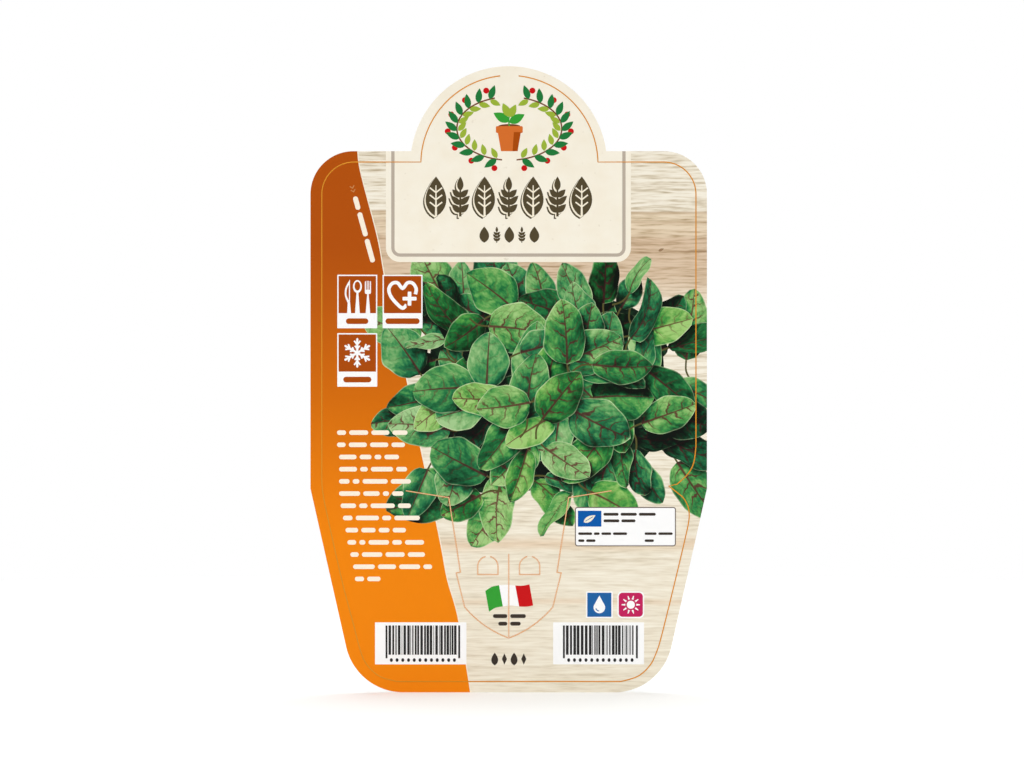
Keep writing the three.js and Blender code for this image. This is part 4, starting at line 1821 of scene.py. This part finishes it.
@dataclass
class CareSquares(PrintedPart):
    """Two small squares side by side: water on blue, and sun on berry red."""

    size: float = 8.1
    border: float = 0.42
    left: float = 26.35
    second_left: float = 36.9
    foot: float = -40.0
    drop_radius: float = 1.95
    shine_radius: float = 1.2
    disc_radius: float = 1.35
    ray_count: int = 10

    def square(self, left: float, growth: float, radius: float) -> Loop:
        """A square's outline, grown by its white border or not at all."""
        size = self.size + growth
        return rounded_box(left - growth, self.foot - growth, left + size, self.foot + size, radius)

    def lay_on(self, plane: FlatMap) -> None:
        """Lays both squares with their borders, the drop and the sun's disc."""
        centre_z = self.foot + self.size / 2
        plane.lay("water_square_border", WHITE_INK, self.square(self.left, self.border, 0.3))
        plane.lay("water_square", SKY_INK, self.square(self.left, 0.0, 0.2))
        x = self.left + self.size / 2
        belly = (x, centre_z - 0.9)
        drop = arc(belly, self.drop_radius, -220, 40, 20) + [(x, centre_z + 3.1)]
        plane.lay("water_drop", WHITE_INK, drop)
        shine = stroke(arc(belly, self.shine_radius, -165, -95, 8), 0.34)
        plane.lay("water_square", SKY_INK, shine)
        plane.lay("sun_square_border", WHITE_INK, self.square(self.second_left, self.border, 1.5))
        plane.lay("sun_square", BERRY_INK, self.square(self.second_left, 0.0, 1.3))
        middle = (self.second_left + self.size / 2, centre_z)
        plane.lay("sun_disc", WHITE_INK, ellipse(middle, self.disc_radius, self.disc_radius, 28))

    def print_over(self, press: Press) -> None:
        """Prints the sun's rays as turns of one short wedge."""
        ray = flat_patch([[(-0.32, 1.85), (0.32, 1.85), (0.14, 3.1), (-0.14, 3.1)]])
        middle = ((self.second_left + self.size / 2) * MM, (self.foot + self.size / 2) * MM, 0.0)
        values = {"shape": shape_object("sun_ray", ray), "count": self.ray_count, "middle": middle}
        press.run(press.ring, "sun_rays", WHITE_INK, {**values, "step": 2 * pi / self.ray_count})


@dataclass
class WavingFlag(PrintedPart):
    """Three slanting panels, green, white and red, that wave across the tongue's slit."""

    panels: tuple[tuple[str, Ink, Path, Path], ...] = (
        (
            "flag_green", GREEN_INK, ((-7.85, -31.3), (-5.6, -29.9), (-3.25, -29.4)),
            ((-1.95, -36.5), (-4.5, -37.0), (-6.6, -38.3)),
        ),
        (
            "flag_white", WHITE_INK, ((-3.25, -29.4), (-0.5, -29.25), (2.2, -29.5)),
            ((3.5, -36.55), (0.8, -36.2), (-1.95, -36.5)),
        ),
        (
            "flag_red", RED_INK, ((2.2, -29.5), (4.6, -29.55), (6.95, -29.1)),
            ((8.2, -36.2), (5.9, -36.6), (3.5, -36.55)),
        ),
    )
    word_height: float = 1.3
    words: Sequence[Sequence[float]] = (
        (-5.3, -0.5, -39.75), (0.5, 5.75, -39.75), (-3.5, -0.5, -42.3), (0.5, 4.0, -42.3),
    )

    def lay_on(self, plane: FlatMap) -> None:
        """Lays the three panels."""
        for name, ink, top, foot in self.panels:
            plane.lay(name, ink, smooth_path(top, 5) + smooth_path(foot, 5))

    def print_over(self, press: Press) -> None:
        """Prints the caption's bars, which keep clear of the slit."""
        words = [Word(((start + end) / 2, z), end - start) for start, end, z in self.words]
        press.text("flag_caption", DARK_INK, self.word_height, words, Body.TONGUE)


@dataclass
class SmallPrint(PrintedPart):
    """The bars in place of the running text, the slanting line near the top left and the mark at the foot."""

    first_z: float = 21.8
    pitch: float = 4.09
    height: float = 1.55
    sizes: Point = (1.9, 8.0)
    gap: float = 1.05
    rows: Path = (
        (-57.6, -33.95), (-57.6, -34.8), (-56.9, -36.8), (-56.9, -34.1), (-56.9, -32.8), (-56.9, -35.3),
        (-56.4, -32.8), (-55.6, -29.8), (-54.75, -34.5), (-54.1, -28.4), (-53.1, -28.1), (-52.2, -25.7),
        (-51.6, -43.0),
    )
    slant_start: Point = (-51.6, 101.0)
    slant_end: Point = (-45.5, 78.9)
    slant_height: float = 1.7
    slant_sizes: Point = (3.5, 8.5)
    slant_gap: float = 0.9
    foot_row: Row = Row((-4.7, -54.15), 4, 3.25)
    seed: int = 21

    def print_over(self, press: Press) -> None:
        """Prints the lines of bars, two chevrons before the slanting one, and four short marks."""
        draw = random.Random(self.seed)
        words: list[Word] = []
        for number, (start, end) in enumerate(self.rows):
            z = self.first_z - self.pitch * number
            words += words_between((start, z), (end, z), draw, self.sizes, self.gap)
        press.text("running_text", PAPER_INK, self.height, words)
        slant = words_between(self.slant_start, self.slant_end, draw, self.slant_sizes, self.slant_gap)
        press.text("slanting_text", PAPER_INK, self.slant_height, slant)
        way = atan2(self.slant_end[1] - self.slant_start[1], self.slant_end[0] - self.slant_start[0])
        ahead, side = (cos(way), sin(way)), (-sin(way), cos(way))
        chevrons = []
        for back in (1.6, 2.9):
            tip = [self.slant_start[k] - ahead[k] * back for k in (0, 1)]
            wings = [[tip[k] - ahead[k] * 0.8 + side[k] * 0.75 * hand for k in (0, 1)] for hand in (1, -1)]
            chevrons.append(stroke([wings[0], tip, wings[1]], 0.32))
        press.film("slanting_chevrons", PALE_ORANGE_INK, flat_patch(chevrons))
        seed = blade_shape((0.0, -2.15), 4.3, 2.3, 90, 7)
        grain = [(0.0, -1.9), (0.85, 0.0), (0.0, 1.9), (-0.85, 0.0)]
        press.marks("foot_marks", DARK_INK, (flat_patch([seed]), flat_patch([grain])), self.foot_row)


@dataclass
class GoldLines(PrintedPart):
    """The thin gold lines: one on each cut of the die, and one that runs round inside the label's edge."""

    die: DieLine
    width: float = 0.38
    arch_centre: Point = (0.23, 111.9)
    arch_radius: float = 29.7
    arch_gap: float = 3.1
    shoulder_z: float = 112.56
    corner_radius: float = 10.8
    left_run: Path = ((-62.7, 5.9), (-62.4, 2.0), (-61.1, -4.9), (-55.9, -28.0), (-52.2, -42.0))
    foot_corner: Path = ((49.7, -51.5), (47.5, -56.1), (43.4, -59.9), (37.6, -61.7))
    right_notch: Path = ((62.8, 17.3), (62.1, 11.9), (60.2, 8.05), (56.5, 4.5))
    right_return: Path = (
        (53.6, 3.9), (56.5, 1.7), (58.65, -0.2), (60.05, -2.75), (60.5, -5.1), (60.4, -7.9), (59.15, -13.9),
        (55.2, -30.5), (51.3, -46.2),
    )

    def head_path(self, side: int, shoulder_x: float) -> Loop:
        """One half of the inset line's arch, from the gap at the top, and the shoulder's corner below it.

        Args:
            side, shoulder_x: 1 for the right half or -1 for the left, and where the shoulder ends.

        Returns:
            The half's points.
        """
        gap = degrees(asin(self.arch_gap / self.arch_radius))
        spring = degrees(asin((self.shoulder_z - self.arch_centre[1]) / self.arch_radius))
        low, radius = spring if side > 0 else 180 - spring, self.corner_radius
        centre = (shoulder_x - side * radius, self.shoulder_z - radius)
        arch = arc(self.arch_centre, self.arch_radius, 90 - side * gap, low, 40)
        return arch + arc(centre, radius, 90, 90 - side * 90, 16)

    def left_path(self) -> Loop:
        """The left half of the inset line, from the gap at the top round to the foot."""
        run = [*self.left_run, *[(-x, z) for x, z in self.foot_corner]]
        return [*self.head_path(-1, self.left_run[0][0]), *smooth_path(run, 6)]

    def right_path(self) -> Loop:
        """The right half, with the notch half way down, round to the foot and along it."""
        run = smooth_path([*self.right_return, *self.foot_corner], 6)
        foot = (-self.foot_corner[-1][0], self.foot_corner[-1][1])
        return [*self.head_path(1, self.right_notch[0][0]), *smooth_path(self.right_notch, 5), *run, foot]

    def print_over(self, press: Press) -> None:
        """Prints both halves of the inset line, and the lines on the cuts, which the cuts split."""
        paths = path_object("inset_paths", [self.left_path(), self.right_path()])
        press.run(press.line, "inset_line", GOLD_INK, {"width": self.width * MM}, paths)
        plane = FlatMap(self.die)
        for path in self.die.cuts():
            plane.lay("cut_line", GOLD_INK, stroke(path, self.width))
        for (name, body), patch in plane.solve().items():
            press.film(f"{name}_{body.value}", GOLD_INK, patch, body=body)


@dataclass
class Artwork:
    """The whole print: the film that holds all the large shapes, and the fine print over it."""

    die: DieLine
    picture: LeafPicture = field(default_factory=LeafPicture)

    def parts_over(self) -> list[PrintedPart]:
        """The parts that lie over the picture, in order."""
        head_z = self.die.shoulder_z + self.die.arch_radius
        return [
            Plaque(head_z),
            Emblem(),
            KitchenTile("kitchen_tile", (-57.5, 56.8), (2.9, 10.4)),
            HealthTile("health_tile", (-42.3, 56.8), (0.95, 12.4)),
            FreezerTile("freezer_tile", (-57.5, 37.2), (2.0, 11.4)),
            TillCode("left_code", (-44.85, -55.95, -14.2, -41.85), (-41.3, -16.3), 3),
            TillCode("right_code", (14.9, -55.95, 45.4, -41.85), (18.2, 43.3), 8),
            PlantCard(),
            CareSquares(),
            WavingFlag(),
            SmallPrint(),
            GoldLines(self.die),
        ]

    def build(self) -> list[Piece]:
        """Cuts the whole map, builds its films, prints over them and returns all the films."""
        over = self.parts_over()
        plane = FlatMap(self.die)
        Ground(self.die).lay_on(plane)
        self.picture.grow()
        self.picture.lay_on(plane, [over[0].outline()])
        for part in over:
            part.lay_on(plane)
        press = Press(self.die)
        numbers = {self.picture.leaf_name(i): i for i in range(len(self.picture.leaves))}
        for (name, body), patch in plane.solve().items():
            whole_name = name if body is Body.SHEET else f"{name}_tongue"
            piece = slab(whole_name, patch, FILM_LEVEL, plane.finishes[name])
            if name in numbers:
                self.picture.dress(piece, numbers[name])
            press.keep(piece, body)
        for part in over:
            part.print_over(press)
        return press.pieces


@dataclass
class Studio:
    """The pale floor, soft lights as on a copy stand, an even white sky and the camera."""

    die: DieLine
    view_width: float = 343.55
    view_x: float = 1.1
    view_z: float = 38.1
    lens: float = 120.0
    sensor: float = 36.0
    sight: float = 20000.0
    floor_radius: float = 700.0
    sky_light: float = 0.34

    def build(self) -> None:
        """Builds the whole studio."""
        self.build_floor()
        self.build_sky()
        self.build_lights()
        self.build_camera()

    def build_floor(self) -> None:
        """A round sheet of paper under the label."""
        rim = ellipse((0.0, 0.0), self.floor_radius, self.floor_radius, 96)
        mesh = bpy.data.meshes.new("paper_floor")
        places = [(x * MM, y * MM, self.die.foot_z * MM) for x, y in rim]
        mesh.from_pydata(places, [], [range(len(places))])
        mesh.update()
        mesh.materials.append(StudioPaper().material())
        linked("paper_floor", mesh)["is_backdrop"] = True

    def build_sky(self) -> None:
        """An even sky that shows white and lights the label faintly from all round."""
        world = bpy.data.worlds.new("studio_sky")
        world.use_nodes = True
        world.node_tree.nodes.clear()
        node = partial(add_node, world.node_tree)
        shown = node("LightPath", out="Is Camera Ray")
        strength = node("MapRange", [shown, 0.0, 1.0, self.sky_light])
        white = node("Background", {"Color": linear("#FFFFFF"), "Strength": strength})
        node("OutputWorld", {"Surface": white})
        bpy.context.scene.world = world

    def build_lights(self) -> None:
        """A soft light on each side and one overhead."""
        lamps = [
            ("key_left", (-1150.0, -1050.0, 520.0), (0.0, 0.0, 38.0), 1000.0, 5.9),
            ("key_right", (1150.0, -1050.0, 520.0), (0.0, 0.0, 38.0), 1000.0, 5.9),
            ("overhead_light", (0.0, 250.0, 1300.0), (0.0, 250.0, 0.0), 1600.0, 21.0),
        ]
        for name, place, aim, size, power in lamps:
            light = bpy.data.lights.new(name, "AREA")
            light.shape = "SQUARE"
            light.size = size * MM
            light.energy = power
            lamp = linked(name, light)
            lamp.location = Vector(place) * MM
            lamp.rotation_euler = (Vector(aim) - Vector(place)).to_track_quat("-Z", "Y").to_euler()

    def build_camera(self) -> None:
        """A long lens square to the print, so that the label lies in the frame as in the photograph."""
        camera = bpy.data.cameras.new("front_camera")
        camera.lens = self.lens
        camera.sensor_width = self.sensor
        camera.clip_end = self.sight * MM
        distance = self.view_width * self.lens / self.sensor
        stand = linked("front_camera", camera)
        stand.location = Vector((self.view_x, -distance, self.view_z)) * MM
        stand.rotation_euler = (pi / 2, 0.0, 0.0)
        bpy.context.scene.camera = stand
        bpy.context.scene.view_settings.view_transform = "Standard"


def corners() -> list[list[float]]:
    """The whole object's lowest and highest corner, as plain numbers."""
    return [[float(value) for value in corner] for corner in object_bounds()]


def main() -> None:
    """Builds the label and its studio in order."""
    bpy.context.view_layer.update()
    die = DieLine()
    pieces = [*Stock(die).build(), *Artwork(die).build()]
    Studio(die).build()
    LOG.info("%d pieces, %d faces", len(pieces), sum(len(p.data.polygons) for p in pieces))


if __name__ == "__main__":
    main()
